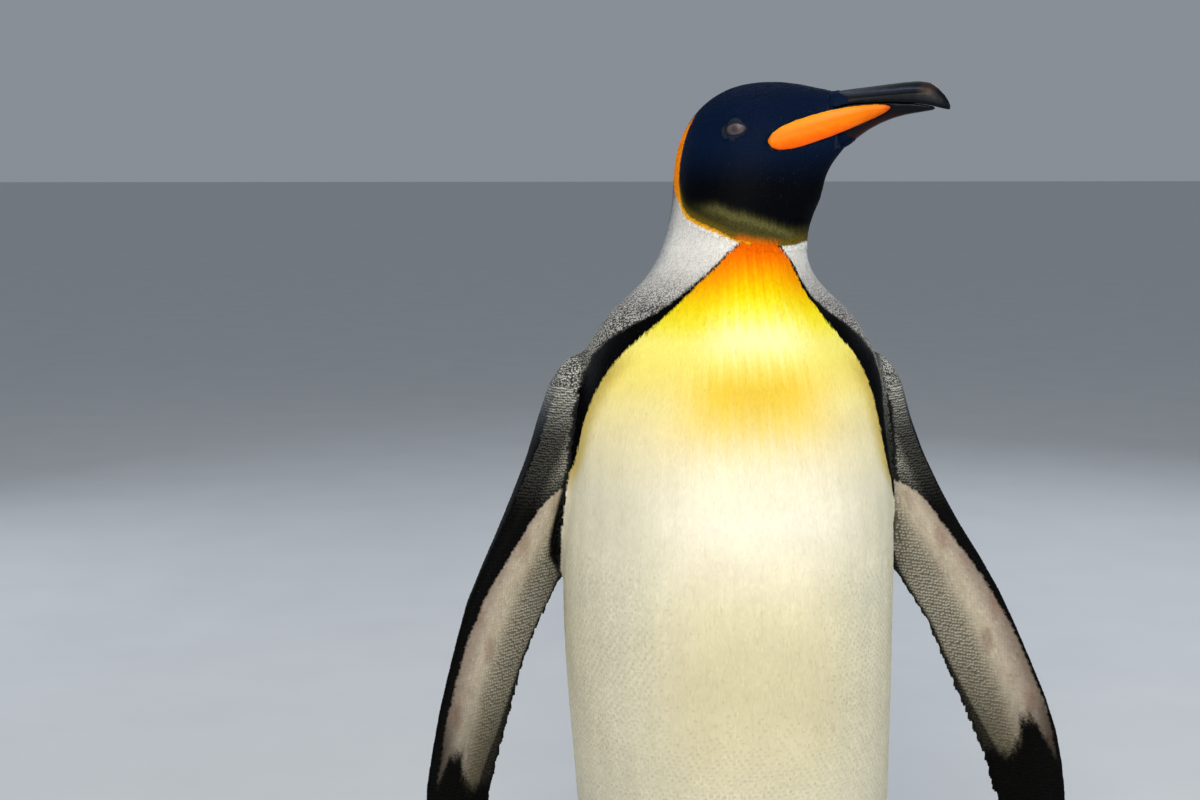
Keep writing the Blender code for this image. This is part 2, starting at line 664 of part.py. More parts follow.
def centre_on_origin(parts, cutters):
    """Moves everything so that the middle of the whole model's box stands over the origin."""
    bpy.context.view_layer.update()
    corners = []
    for item in parts.objects:
        corners += [item.matrix_world @ Vector(corner) for corner in item.bound_box]
    shift_x = -(min(c.x for c in corners) + max(c.x for c in corners)) / 2
    shift_y = -(min(c.y for c in corners) + max(c.y for c in corners)) / 2
    for item in list(parts.objects) + list(cutters.objects):
        item.location.x += shift_x
        item.location.y += shift_y


def build():
    clear_scene()
    parts, cutters = make_collection(NAME), make_collection(NAME + "_cutters")
    head, grown = body_pieces(parts, cutters)
    head_details(head, parts, cutters)
    for word, side in (("left", 1), ("right", -1)):
        flipper(word, side, grown, parts)
        plumage = make_material("white_plumage")
        cut(loft(f"leg_{word}", leg_rings(side), parts, plumage), grown)
        grown_leg = loft(f"leg_clearance_{word}", leg_rings(side, GAP), cutters, None)
        foot(word, side, grown_leg, parts, cutters)
    tail(grown, parts)
    centre_on_origin(parts, cutters)


build()
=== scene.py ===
# King penguin, a still life-size museum model: skin, plumage, bill, eyes, feet and their finishes.
import math

import bmesh
import bpy
import numpy as np
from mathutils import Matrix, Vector
from mathutils.bvhtree import BVHTree
from mathutils.kdtree import KDTree


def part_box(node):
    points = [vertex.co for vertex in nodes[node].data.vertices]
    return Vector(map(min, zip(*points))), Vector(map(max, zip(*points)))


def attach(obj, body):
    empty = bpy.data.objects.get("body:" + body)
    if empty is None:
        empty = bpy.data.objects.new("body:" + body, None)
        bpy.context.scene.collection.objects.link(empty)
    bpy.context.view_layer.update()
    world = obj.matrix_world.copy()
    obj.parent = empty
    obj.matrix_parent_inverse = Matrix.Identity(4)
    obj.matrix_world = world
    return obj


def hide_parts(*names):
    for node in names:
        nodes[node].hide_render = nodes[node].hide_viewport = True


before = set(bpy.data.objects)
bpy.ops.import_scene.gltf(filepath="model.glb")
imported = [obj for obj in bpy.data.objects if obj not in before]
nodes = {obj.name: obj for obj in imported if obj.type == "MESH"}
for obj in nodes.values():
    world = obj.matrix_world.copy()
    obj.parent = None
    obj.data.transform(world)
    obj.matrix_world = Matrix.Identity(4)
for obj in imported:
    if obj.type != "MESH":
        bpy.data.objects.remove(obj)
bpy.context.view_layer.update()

rng = np.random.default_rng(11)
words = ("left", "right")
flesh = ("trunk", "neck", "head", "leg_left", "leg_right", "tail",
         "flipper_left", "flipper_right", "foot_left", "foot_right")


def linear(code):
    # sRGB hex to the linear numbers that shaders take
    parts = [int(code[i:i + 2], 16) / 255 for i in (0, 2, 4)]
    return np.array([c / 12.92 if c <= 0.04045 else ((c + 0.055) / 1.055) ** 2.4 for c in parts])


def smoothStep(low, high, value):
    part = np.clip((value - low) / (high - low), 0, 1)
    return part * part * (3 - 2 * part)


def curve(stations, at):
    # values of a curve, with rounded corners between its stations
    rows = sorted(stations)
    places = np.array([row[0] for row in rows])
    values = np.array([row[1] for row in rows])
    span = (places[-1] - places[0]) * 0.012
    at = np.asarray(at, float)
    return sum(np.interp(at + k * span, places, values) for k in (-1, 0, 1)) / 3


def ramp(stations, at):
    # colours along a scale, from hex codes at given stations
    rows = sorted(stations)
    places = [row[0] for row in rows]
    colours = np.array([linear(row[1]) for row in rows])
    return np.stack([np.interp(at, places, colours[:, k]) for k in range(3)], axis=-1)


def blendTo(colour, other, weight):
    # the other colours are numbers like the first, or one hex code
    other = linear(other) if isinstance(other, str) else np.asarray(other)
    return colour + (other - colour) * np.asarray(weight)[..., None]


def plain(code, like):
    return np.broadcast_to(linear(code), like.shape)


def where(mask, chosen, colour):
    # colours or one hex code where the mask holds, the given colours elsewhere
    chosen = linear(chosen) if isinstance(chosen, str) else chosen
    return np.where(mask[..., None], chosen, colour)


def unit(vectors):
    return vectors / np.maximum(np.linalg.norm(vectors, axis=-1, keepdims=True), 1e-9)


def waves(*terms):
    # soft streaks: a sum of sines, roughly -1 to 1
    total = 0
    for k, term in enumerate(terms):
        total = total + np.sin(term + 1.7 * k)
    return total / len(terms)


def boxMiddle(name):
    low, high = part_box(name)
    return (Vector(low) + Vector(high)) / 2


def linkObject(name, data, material=None):
    item = bpy.data.objects.new(name, data)
    bpy.context.scene.collection.objects.link(item)
    if material is not None:
        data.materials.append(material)
    return item


def meshFrom(bm, name):
    mesh = bpy.data.meshes.new(name)
    bm.to_mesh(mesh)
    bm.free()
    return mesh


def addTo(bm, other):
    # the other mesh's faces join the first
    mesh = meshFrom(other, "part")
    bm.from_mesh(mesh)
    bpy.data.meshes.remove(mesh)


def evaluatedMesh(item):
    # the object's mesh with its modifier applied; the object itself goes
    graph = bpy.context.evaluated_depsgraph_get()
    mesh = bpy.data.meshes.new_from_object(item.evaluated_get(graph))
    bpy.data.objects.remove(item, do_unlink=True)
    return mesh


def meshArrays(mesh):
    points = np.empty(len(mesh.vertices) * 3, np.float32)
    mesh.vertices.foreach_get("co", points)
    mesh.calc_loop_triangles()
    triangles = np.empty(len(mesh.loop_triangles) * 3, np.int32)
    mesh.loop_triangles.foreach_get("vertices", triangles)
    edges = np.empty(len(mesh.edges) * 2, np.int32)
    mesh.edges.foreach_get("vertices", edges)
    return points.reshape(-1, 3).astype(float), triangles.reshape(-1, 3), edges.reshape(-1, 2)


def vertexNormals(points, triangles):
    corners = points[triangles]
    faceNormals = np.cross(corners[:, 1] - corners[:, 0], corners[:, 2] - corners[:, 0])
    total = np.zeros_like(points)
    for k in range(3):
        for axis in range(3):
            total[:, axis] += np.bincount(triangles[:, k], faceNormals[:, axis], len(points))
    return unit(total)


def relaxed(values, edges, rounds, weight=1.0):
    # each value moves towards the mean of its neighbours, as many rounds as asked
    count = len(values)
    ends = np.concatenate([edges[:, 0], edges[:, 1]])
    others = np.concatenate([edges[:, 1], edges[:, 0]])
    near = np.maximum(np.bincount(ends, minlength=count), 1)
    flat = values.reshape(count, -1)
    weight = np.broadcast_to(np.asarray(weight, float), (count,))
    for _ in range(rounds):
        mean = np.stack([np.bincount(ends, flat[others, k], count) for k in range(flat.shape[1])], axis=1)
        flat = flat + (mean / near[:, None] - flat) * weight[:, None]
    return flat.reshape(values.shape)


def searchTree(points, triangles):
    return BVHTree.FromPolygons(points.tolist(), triangles.tolist())


def joinedArrays(pieces):
    # several pairs of points and triangles as one pair
    vertices, faces, count = [], [], 0
    for co, triangles in pieces:
        vertices.append(co)
        faces.append(triangles + count)
        count += len(co)
    return np.concatenate(vertices), np.concatenate(faces)


def solidTree(names):
    return searchTree(*joinedArrays([meshArrays(nodes[name].data)[:2] for name in names]))


# the bird's own directions
eyesAhead = 0.0172  # how far the eyes lie ahead of the neck's axis
eyeMiddles = {word: boxMiddle("eye_" + word) for word in words}
headLeft = eyeMiddles["left"] - eyeMiddles["right"]
headLeft.z = 0
headLeft.normalize()
headAhead = Vector((headLeft.y, -headLeft.x, 0))
axisPoint = (eyeMiddles["left"] + eyeMiddles["right"]) / 2 - headAhead * eyesAhead
axisPoint.z = 0
axisArray, aheadArray, leftArray = np.array(axisPoint), np.array(headAhead), np.array(headLeft)


def headPlace(ahead, height):
    return axisPoint + headAhead * ahead + Vector((0, 0, height))


def reachAhead(points):
    # metres from the neck's axis towards the bill
    return (points - axisArray) @ aheadArray


def bodyAngle(points):
    # degrees round the body from the middle of the breast, positive to the bird's left
    rel = points - axisArray
    return np.degrees(np.arctan2(rel[..., 0], -rel[..., 1]))


def headAngle(points):
    # degrees round the neck from the bill, positive to the bird's left
    rel = points - axisArray
    return np.degrees(np.arctan2(rel @ leftArray, rel @ aheadArray))


# one set of functions gives the skin and the plumage the same markings
markings = dict(
    # height and angle of each edge of the orange and white front
    frontRight=((0.728, 11), (0.7235, 4), (0.718, -5), (0.704, -15), (0.690, -27), (0.682, -33),
                (0.666, -42), (0.650, -50), (0.638, -57), (0.625, -62), (0.612, -65.5), (0.600, -68.5),
                (0.573, -73.5), (0.548, -76), (0.535, -77.5), (0.520, -82), (0.500, -88), (0.450, -96),
                (0.060, -100)),
    frontLeft=((0.728, 11), (0.7225, 22), (0.7155, 29), (0.6986, 39.6), (0.6765, 45), (0.665, 46.5),
               (0.657, 48), (0.649, 51), (0.636, 56), (0.624, 59.5), (0.611, 61), (0.599, 63),
               (0.574, 64.5), (0.548, 67.5), (0.534, 69.5), (0.518, 76), (0.490, 88), (0.450, 96),
               (0.060, 100)),
    frontTop=0.728,
    # height and width in metres of the black border outside it
    border=((0.725, 0.0016), (0.700, 0.0026), (0.682, 0.0048), (0.672, 0.0062), (0.662, 0.0110),
            (0.655, 0.0190), (0.647, 0.0290), (0.637, 0.0350), (0.621, 0.0370), (0.609, 0.0330),
            (0.597, 0.0260), (0.585, 0.0200), (0.573, 0.0150), (0.560, 0.0115), (0.530, 0.0100),
            (0.500, 0.0110), (0.060, 0.0120)),
    # angle from the bill and height of the hood's lower edge
    hoodEdge=((0, 0.7190), (30, 0.7160), (50, 0.7185), (68, 0.7220), (79, 0.7275), (96, 0.7335),
              (111, 0.7385), (120, 0.7430), (127, 0.7500), (134, 0.7600), (138, 0.7700), (165, 0.7700),
              (172, 0.7480), (180, 0.7460)),
    # angle from the bill, and height above that edge, of the crease in its olive hem, along which a painted
    # highlight runs
    creaseLine=((0, 0.007), (20, 0.008), (40, 0.0145), (60, 0.0185), (85, 0.0165), (100, 0.0105),
                (112, 0.006), (180, 0.004)),
    hemShare=((62, 1.0), (96, 0.50), (112, 0.30), (138, 0.0)),  # angle from the bill and the olive's strength
    lineHalf=((55, 0.0006), (80, 0.0012), (115, 0.0019), (135, 0.0025)),  # the yellow line under the hem
    # height and angles of the orange ear band's front and back edges
    bandFront=((0.740, 114), (0.748, 126), (0.757, 133), (0.768, 137), (0.790, 139), (0.805, 142),
               (0.816, 146), (0.822, 150)),
    bandBack=((0.740, 116), (0.746, 124), (0.754, 138), (0.765, 154), (0.780, 163), (0.795, 165),
              (0.808, 161), (0.818, 153), (0.822, 150)),
    frontMiddle=((0.60, 3), (0.66, 7), (0.72, 12)),  # height and angle of its middle line
    frontSpan=((0.55, 46), (0.60, 38), (0.66, 30), (0.72, 18)),
    # middle of the front: the pale band at 0.64–0.65 and the whiter top of the belly at 0.47–0.50 are painted
    # highlights, and the duller cream below 0.43 is painted shade
    front=((0.730, "E25A00"), (0.716, "EE6200"), (0.706, "FB7C02"), (0.697, "FDA000"), (0.688, "FDC002"),
           (0.679, "FDDC08"), (0.670, "FEEE34"), (0.660, "FFF670"), (0.650, "FFFAA8"), (0.640, "FFFAB0"),
           (0.630, "FFF38C"), (0.619, "FBE066"), (0.606, "F3CF47"), (0.592, "F3D256"), (0.576, "F7DE80"),
           (0.560, "F9E9B0"), (0.540, "FBF2D2"), (0.500, "FCF6E0"), (0.470, "F8F0D4"), (0.430, "E7DFBA"),
           (0.395, "DCD3AE"), (0.360, "DAD1AC"), (0.320, "DDD5B2"), (0.290, "DCD5B6"), (0.250, "DDD7C0"),
           (0.060, "D8D2BF")),
    frontSides=((0.730, "E25A00"), (0.710, "F46E00"), (0.700, "FB8A02"), (0.688, "FCA604"),
                (0.677, "FCC80C"), (0.667, "FDE018"), (0.655, "FDEC3C"), (0.640, "FDF07A"),
                (0.622, "FBEA78"), (0.606, "FCE886"), (0.592, "FAECA0"), (0.576, "F3E6AC"),
                (0.560, "EFE5B8"), (0.520, "E9E4CA"), (0.440, "E2DEC6"), (0.390, "DFDAC0"),
                (0.300, "DED9C0"), (0.060, "D6D2C0")),
    rim="CDB556", apex="E86A00", crease="7C7A4A",  # rim: darker gold along the front's outer edge, painted shade where the body turns away; crease: colour of a painted highlight along the hem's crease
    # hood: the crown's black, blued by a painted reflection of the sky
    hood="081730", throat="04060A", hem="4E4A24", hemLow="75611A", line="E0A21C", nape="10151F",
    bandTop="FF8A00", bandLow="F4B414", black="050506",
    neck=((0.760, "C4C4C2"), (0.715, "E6E5DF"), (0.700, "DAD9D4"), (0.685, "B6B5B1"), (0.668, "838280"),
          (0.650, "7A7975"), (0.625, "76766F"), (0.600, "66665F"), (0.575, "484842"), (0.550, "2C2C29"),
          (0.060, "262624")),
    back=((0.760, "3A4048"), (0.730, "727981"), (0.700, "888F96"), (0.650, "828991"), (0.560, "7B838D"),
          (0.300, "6E7680"), (0.140, "4E545C"), (0.060, "2E3136")),
    ripple=(0.0024, 0.0050),  # metres from row to row on the shoulders, and between the breaks in them
    lattice=0.0062,  # the same on the flanks
    # how strong each of these shows
    rippleWeight=0.22, latticeShadingWeight=0.13, sideShade=0.20, rimWeight=0.85, hemWeight=0.85, creaseHighlightWeight=0.42,
    hemLowWeight=0.8, apexWeight=0.85,
    # angles from the middle of the breast: where the back begins, and the shaded side of the neck
    behind=(95, 150), sideAngles=(60, 110), flankAngles=(22, 48),
    # heights over which things come or go
    rippleTop=(0.695, 0.655), rippleFoot=(0.52, 0.56), flankTop=(0.50, 0.44), ventTop=(0.34, 0.26),
    rimFoot=(0.500, 0.530), rimTop=(0.638, 0.612), crown=(0.760, 0.800), napeTop=(0.83, 0.80),
    bandRise=(0.742, 0.762),
    # distances inside the front's edge, and above the hood's, over which things come or go
    rimWidth=(0.023, 0.002), hemLowWidth=(0.009, 0.001), apexRise=(0.0075, -0.001), napeRun=(-0.045, -0.004),
    napeAngles=(140, 165), napeFoot=(158, 172), lineAngles=(55, 139),  # degrees from the bill
)


def stepped(stations, at):
    # values between given stations, with sharp corners
    rows = sorted(stations)
    return np.interp(at, [row[0] for row in rows], [row[1] for row in rows])


def frontWeight(points, height, angle):
    # distance in metres to the edge of the orange and white front, positive inside it
    radius = np.hypot(points[..., 0] - axisPoint.x, points[..., 1] - axisPoint.y)
    right, left = curve(markings["frontRight"], height), curve(markings["frontLeft"], height)
    inside = np.minimum(angle - right, left - angle) * radius * math.pi / 180
    return np.where(height > markings["frontTop"], -0.02, inside)


def aboveHood(points):
    # metres above the hood's lower edge
    return points[..., 2] - curve(markings["hoodEdge"], np.abs(headAngle(points)))


def ripples(points):
    # wavy rows of light feather tips on the shoulders and upper flippers, -1 to 1
    x, y, z = points[..., 0], points[..., 1], points[..., 2]
    around = np.abs(x) * 0.75 - y * 0.66
    bend = 0.00035 * waves(z * 190 + around * 90, z * 110 - around * 230, around * 300)
    bend = bend + 0.0009 * waves(z * 45, around * 52)
    step, gap = markings["ripple"]
    rows = np.sin(2 * math.pi * (around * 0.62 + z * 0.62 + bend) / step)
    breaks = np.sin(2 * math.pi * (z * 0.80 - around * 0.80 - bend) / gap)
    return np.clip(rows + 0.45 * breaks, -1, 1)


def bellyLatticeShading(points, angle):
    # faint lattice of painted light and shade on the flanks and lower belly, standing for the relief of
    # feather tips, -1 to 1
    z, step = points[..., 2], markings["lattice"]
    around = angle * 0.0023 + 0.0006 * waves(z * 90, angle * 0.3)
    return np.sin(2 * math.pi * (around + z * 0.9) / step) * np.sin(2 * math.pi * (around - z * 0.9) / step)


def mantleColour(points, height, angle):
    # silver neck, speckled shoulders and blue-grey back
    marks = markings
    behind = smoothStep(*marks["behind"], np.abs(angle) + np.clip((height - 0.66) * 900, 0, 40))
    colour = blendTo(ramp(marks["neck"], height), ramp(marks["back"], height), behind)
    dim = marks["sideShade"] * smoothStep(*marks["sideAngles"], np.abs(angle))
    dim = dim * smoothStep(0.66, 0.70, height)
    rippled = marks["rippleWeight"] * smoothStep(*marks["rippleTop"], height)
    rippled = rippled * smoothStep(*marks["rippleFoot"], height) * (1 - 0.6 * behind)
    return colour * (1 - dim)[..., None] * (1 + rippled * ripples(points))[..., None]


def frontColour(points, height, angle, inside, streak):
    # orange at the throat through yellow to cream, with a golden patch on the breast, painted highlights on
    # its middle and painted shade lower down
    marks = markings
    middle, sides = ramp(marks["front"], height + 0.006 * streak), ramp(marks["frontSides"], height)
    away = np.abs(angle - stepped(marks["frontMiddle"], height)) / stepped(marks["frontSpan"], height)
    colour = blendTo(middle, sides, smoothStep(0.35, 1.15, away + 0.10 * streak))
    flank = smoothStep(*marks["flankAngles"], np.abs(angle)) * smoothStep(*marks["flankTop"], height)
    flank = np.maximum(flank, smoothStep(*marks["ventTop"], height))
    # the flanks' lattice is painted light and shade
    colour = colour * (1 + marks["latticeShadingWeight"] * flank * bellyLatticeShading(points, angle))[..., None]
    # painted shade: darker gold near the front's edge, where the body turns away
    rim = smoothStep(*marks["rimWidth"], inside) * smoothStep(*marks["rimFoot"], height)
    return blendTo(colour, marks["rim"], marks["rimWeight"] * rim * smoothStep(*marks["rimTop"], height))


def hoodColour(points, height, angle, aside, above, streak):
    # black throat turning blue-black on the crown, whose blue is a painted reflection of the sky, and olive
    # hem, into which the orange of the throat rises a little
    marks = markings
    colour = np.broadcast_to(linear(marks["throat"]), height.shape + (3,))
    # the blue rising to the crown is a painted reflection of the sky
    colour = blendTo(colour, marks["hood"], smoothStep(*marks["crown"], height))
    crease = curve(marks["creaseLine"], aside) + 0.0012 * streak
    speck = waves(height * 2300 + aside * 2.1, height * 1500 - aside * 3.9, aside * 6.3)
    olive = smoothStep(crease + 0.010, crease - 0.003, above) * stepped(marks["hemShare"], aside)
    colour = blendTo(colour, marks["hem"], np.clip(marks["hemWeight"] * olive * (1 + 0.22 * speck), 0, 1))
    # a painted highlight along the crease's ridge
    lit = np.exp(-((above - crease) / 0.0032) ** 2) * smoothStep(104, 76, aside) * smoothStep(10, 30, aside)
    colour = blendTo(colour, marks["crease"], marks["creaseHighlightWeight"] * lit * (1 + 0.25 * speck))
    low = marks["hemLowWeight"] * smoothStep(*marks["hemLowWidth"], above)
    colour = blendTo(colour, marks["hemLow"], low)
    nape = smoothStep(*marks["napeAngles"], aside) * smoothStep(*marks["napeTop"], height)
    colour = blendTo(colour, marks["nape"], nape)
    apex = smoothStep(-0.004, 0.003, frontWeight(points, np.minimum(height, 0.716), angle))
    apex = marks["apexWeight"] * smoothStep(*marks["apexRise"], above) * apex
    return blendTo(colour, marks["apex"], apex * (height < 0.74))


def bodyColour(points, ragged=0.0):
    marks, height, angle = markings, points[..., 2], bodyAngle(points)
    aside = np.abs(headAngle(points))
    streak = waves(angle * 1.9 + height * 21, angle * 3.7 - height * 30, angle * 0.83 + height * 55)
    inside = frontWeight(points, height, angle) + ragged
    colour = mantleColour(points, height, angle)
    border = curve(marks["border"], height)
    frayed = waves(angle * 5.1 + height * 40, angle * 11.3 - height * 95, height * 420)
    frayed = inside + border * 0.10 * frayed
    colour = blendTo(colour, marks["black"], smoothStep(-border * 1.15, -border * 0.88, frayed))
    colour = where(inside > 0, frontColour(points, height, angle, inside, streak), colour)
    above = aboveHood(points)
    colour = where(above > 0, hoodColour(points, height, angle, aside, above, streak), colour)
    thin = np.abs(above + 0.0006) < stepped(marks["lineHalf"], aside)
    thin &= (aside > marks["lineAngles"][0]) & (aside < marks["lineAngles"][1])
    colour = where(thin, marks["line"], colour)
    dark = smoothStep(*marks["napeRun"], above) * smoothStep(*marks["napeFoot"], aside)
    colour = blendTo(colour, marks["nape"], np.where(above < 0, dark, 0))
    # the orange ear bands
    band = (aside > curve(marks["bandFront"], height)) & (aside < curve(marks["bandBack"], height))
    band &= (height > marks["bandFront"][0][0]) & (height < marks["bandFront"][-1][0])
    orange = smoothStep(*marks["bandRise"], height)
    return where(band, blendTo(plain(marks["bandLow"], colour), marks["bandTop"], orange), colour)


flipperTurn = {"left": 27.0, "right": 35.0}  # degrees that each inner face is turned in
flipperMarks = dict(
    # height and share of the chord, from the leading edge, at which the pale inner panel begins
    panelEdge=((0.150, 0.10), (0.276, 0.070), (0.320, 0.055), (0.387, 0.055), (0.430, 0.085),
               (0.463, 0.130), (0.484, 0.150), (0.497, 0.180), (0.506, 0.205), (0.512, 0.270),
               (0.517, 0.380), (0.520, 0.600), (0.523, 1.05)),
    panelShift={"left": -0.018, "right": 0.020},
    # share of the chord and height under which the tip is black
    tipTop=((0.0, 0.262), (0.08, 0.276), (0.14, 0.290), (0.20, 0.309), (0.36, 0.306), (0.43, 0.288),
            (0.55, 0.277), (0.65, 0.272), (0.85, 0.272), (1.0, 0.268)),
    tipDrop={"left": 0.0, "right": 0.018},
    panel=((0.05, "7A6D60"), (0.14, "9C8F82"), (0.26, "BFB3A1"), (0.38, "C2B8A5"), (0.50, "B1A692"),
           (0.62, "978D77"), (0.76, "7E7864"), (0.88, "6C6855"), (0.95, "4A4940"), (1.0, "2A2924")),
    panelLow={"left": 0.62, "right": 0.50},  # brightness of the panel near the tip
    # height and width, as a share of the chord, of the dark trailing edge
    darkTrail=((0.250, 0.28), (0.300, 0.16), (0.340, 0.09), (0.400, 0.045), (0.430, 0.08), (0.450, 0.15),
               (0.480, 0.12), (0.520, 0.02)),
    trailTip="3A3934", trailGround="0C0C0B",
    flush="846A5C",  # pinkish brown, where the skin shows through the thin plumage
    scaleTip="ECE8DA", scaleGround="4E4A3D", shoulderTip="C4C4C0",
    shoulder=((0.625, "94948F"), (0.600, "80807A"), (0.570, "7C7C75"), (0.550, "74746C"), (0.530, "66665E"),
              (0.510, "545450"), (0.490, "3A3A36"), (0.470, "1C1C1A"), (0.455, "0C0C0B")),
    # how near the flank the inner face is painted black, a painted shadow in the pit, and at which heights
    armpitShadow={"left": 0.0, "right": 0.0120}, armpitShadowTop=0.0035,
    armpitShadowRise=((0.425, 0), (0.450, 1), (0.465, 1), (0.520, 0.42)),
    pitShadowTip="101010", pitShadowGround="060606",
    outer=((0.620, "60666D"), (0.540, "3A4048"), (0.400, "2C3138"), (0.250, "1C1F24"), (0.160, "101214")),
    black="070707", blackTip="121212",
)


def flipperFrame(word):
    # the flipper's own directions, and for each level its leading, trailing and middle places
    side = 1 if word == "left" else -1
    turn = math.radians(flipperTurn[word])
    along = np.array([side * math.cos(turn), -math.sin(turn), 0.0])
    inward = np.array([-side * math.sin(turn), -math.cos(turn), 0.0])
    points = np.unique(np.round(meshArrays(nodes["flipper_" + word].data)[0], 5), axis=0)
    rows, edge = [], []
    for level in np.unique(np.round(points[:, 2], 3)):
        ring = points[np.abs(points[:, 2] - level) < 6e-4]
        if len(ring) >= 8 and level < 0.60:
            reach, depth = ring @ along, ring @ inward
            rows.append((level, reach.max(), reach.min(), (depth.max() + depth.min()) / 2))
            edge.append((level, reach.min(), depth[np.argmin(reach)]))
    rows = np.array(rows)
    # higher up the trunk takes a bite out of the trailing side, so the chord there is the last whole one
    inBody = rows[:, 0] > 0.43
    whole = rows[~inBody][-1]
    rows[inBody, 2] = rows[inBody, 1] - (whole[1] - whole[2])
    return dict(along=along, inward=inward, rows=rows, edge=np.array(edge))


flippers = {word: flipperFrame(word) for word in words}
flankTree = solidTree(["trunk"])


def flipperPlace(word, points):
    # share of the chord from the leading edge
    info = flippers[word]
    rows = info["rows"]
    lead = np.interp(points[..., 2], rows[:, 0], rows[:, 1])
    trail = np.interp(points[..., 2], rows[:, 0], rows[:, 2])
    return (lead - points @ info["along"]) / np.maximum(lead - trail, 0.01)


def panelTones(word, height, share, mottle):
    # the pale inner panel: bare and flushed in front, scaly towards the dark trailing edge
    marks = flipperMarks
    panel = ramp(marks["panel"], share)
    flush = 0.55 * smoothStep(0.1, 0.9, mottle) * smoothStep(0.75, 0.35, share)
    panel = blendTo(panel, marks["flush"], flush)
    low = marks["panelLow"][word]
    panel = panel * (low + (1.10 - low) * smoothStep(0.27, 0.40, height) + 0.06 * mottle)[..., None]
    panel = panel * (1 - 0.65 * smoothStep(0.34, 0.285, height) * smoothStep(0.26, 0.08, share))[..., None]
    scaly = smoothStep(0.34, 0.62, share)
    pale = 0.90 * scaly * smoothStep(1.04, 0.86, share) * smoothStep(0.25, 0.42, height)
    tip = blendTo(panel * 1.06, marks["scaleTip"], pale)
    ground = blendTo(panel * 0.90, marks["scaleGround"], 0.85 * scaly)
    trailing = smoothStep(-0.02, 0.03, share - 1 + curve(marks["darkTrail"], height) + 0.01 * mottle)
    return (blendTo(ground, marks["trailGround"], 0.9 * trailing),
            blendTo(tip, marks["trailTip"], 0.9 * trailing))


def flipperTones(word, points, normals):
    # ground and tip colours of the flipper's small scale-like feathers
    marks, height, share = flipperMarks, points[..., 2], flipperPlace(word, points)
    inner = normals @ flippers[word]["inward"] > 0.05
    mottle = waves(height * 95 + share * 9, height * 47 - share * 14, share * 21 + height * 160)
    shoulder = ramp(marks["shoulder"], height)
    ripple = ripples(points)
    ground = shoulder * (0.13 + 0.04 * ripple)[..., None]
    tip = blendTo(shoulder * 5.2, marks["shoulderTip"], smoothStep(0.50, 0.60, height) * 0.30)
    tip = tip * (1 + 0.30 * ripple)[..., None]
    front = smoothStep(0.24, 0.10, share) * smoothStep(0.610, 0.55, height)
    ground = blendTo(ground, marks["black"], front)
    tip = blendTo(tip, marks["black"], 0.85 * front)
    panelGround, panelTip = panelTones(word, height, share, mottle)
    # the pit where the flipper nears the flank is painted black: a painted contact shadow
    near = np.array([flankTree.find_nearest(point)[3] for point in points.tolist()])
    rise = marks["armpitShadow"][word] * stepped(marks["armpitShadowRise"], height)
    reach = np.where(height > 0.5235, marks["armpitShadowTop"], rise)
    pitShadow = smoothStep(0.0022, -0.0018, near - reach) * (height < 0.585) * (reach > 0)
    border = curve(marks["panelEdge"], height) + marks["panelShift"][word] + 0.008 * mottle
    inPanel = inner & (share > border)
    ground = blendTo(where(inPanel, panelGround, ground), marks["pitShadowGround"], pitShadow)
    tip = blendTo(where(inPanel, panelTip, tip), marks["pitShadowTip"], pitShadow)
    edge = smoothStep(0.530, 0.484, height - 0.05 * np.clip(share - 0.10, 0, 0.5)) * inner * (share <= border)
    tipTop = curve(marks["tipTop"], share) - marks["tipDrop"][word] + 0.002 * mottle
    blackness = smoothStep(0.0080, -0.0060, height - tipTop + 0.003 * ripple) * inner
    blackness = np.maximum(edge, blackness)
    outer = ramp(marks["outer"], height)
    outer = blendTo(outer, marks["black"], smoothStep(0.16, 0.04, share) * smoothStep(0.60, 0.54, height))
    behind = ~inner * smoothStep(0.620, 0.560, height)
    ground, tip = blendTo(ground, outer * 0.55, behind), blendTo(tip, outer * 1.35, behind)
    return blendTo(ground, marks["black"], blackness), blendTo(tip, marks["blackTip"], blackness)


skinPlan = dict(
    voxel=0.0021,  # grain of the joined skin
    overlap=0.00026,  # how far each part is grown, so that the thin cuts between them close
    triangles=150000,
    # rounds of smoothing, which take the solids' flat faces out
    rounds={"trunk": 40, "neck": 24, "head": 9, "leg": 12, "tail": 6, "flipper": 8, "foot": 3},
    shoulderRounds=34,  # softer where the flippers leave the shoulders
    # how deep the plumage is on each part
    depth={"trunk": 0.0014, "neck": 0.0012, "head": 0.0008, "leg": 0.0014, "tail": 0.0010,
           "flipper": 0.0007, "foot": 0.0002},
    lidColour="131824",
)
eyeShape = dict(halfLong=0.0092, halfHigh=0.0049, power=1.65, tilt=-6.0, radius=0.0127,
                swell=0.0024, swellReach=0.0105)


def remeshed(name, sources, voxel, grow):
    # one closed surface round the named solids, each grown a little
    joined = bmesh.new()
    for source in sources:
        bm = bmesh.new()
        bm.from_mesh(nodes[source].data)
        bmesh.ops.remove_doubles(bm, verts=bm.verts, dist=1e-5)
        bm.normal_update()
        for vert in bm.verts:
            vert.co += vert.normal * grow
        addTo(joined, bm)
    item = linkObject(name, meshFrom(joined, name))
    modifier = item.modifiers.new("remesh", "REMESH")
    modifier.mode = "VOXEL"
    modifier.voxel_size = voxel
    return evaluatedMesh(item)


def nearestParts(points):
    # which solid each point of the skin lies on
    owners = []
    for name in flesh:
        owners += [name] * len(meshArrays(nodes[name].data)[1])
    tree = solidTree(flesh)
    found = np.array([tree.find_nearest(point)[2] for point in points.tolist()])
    return np.array(owners)[found]


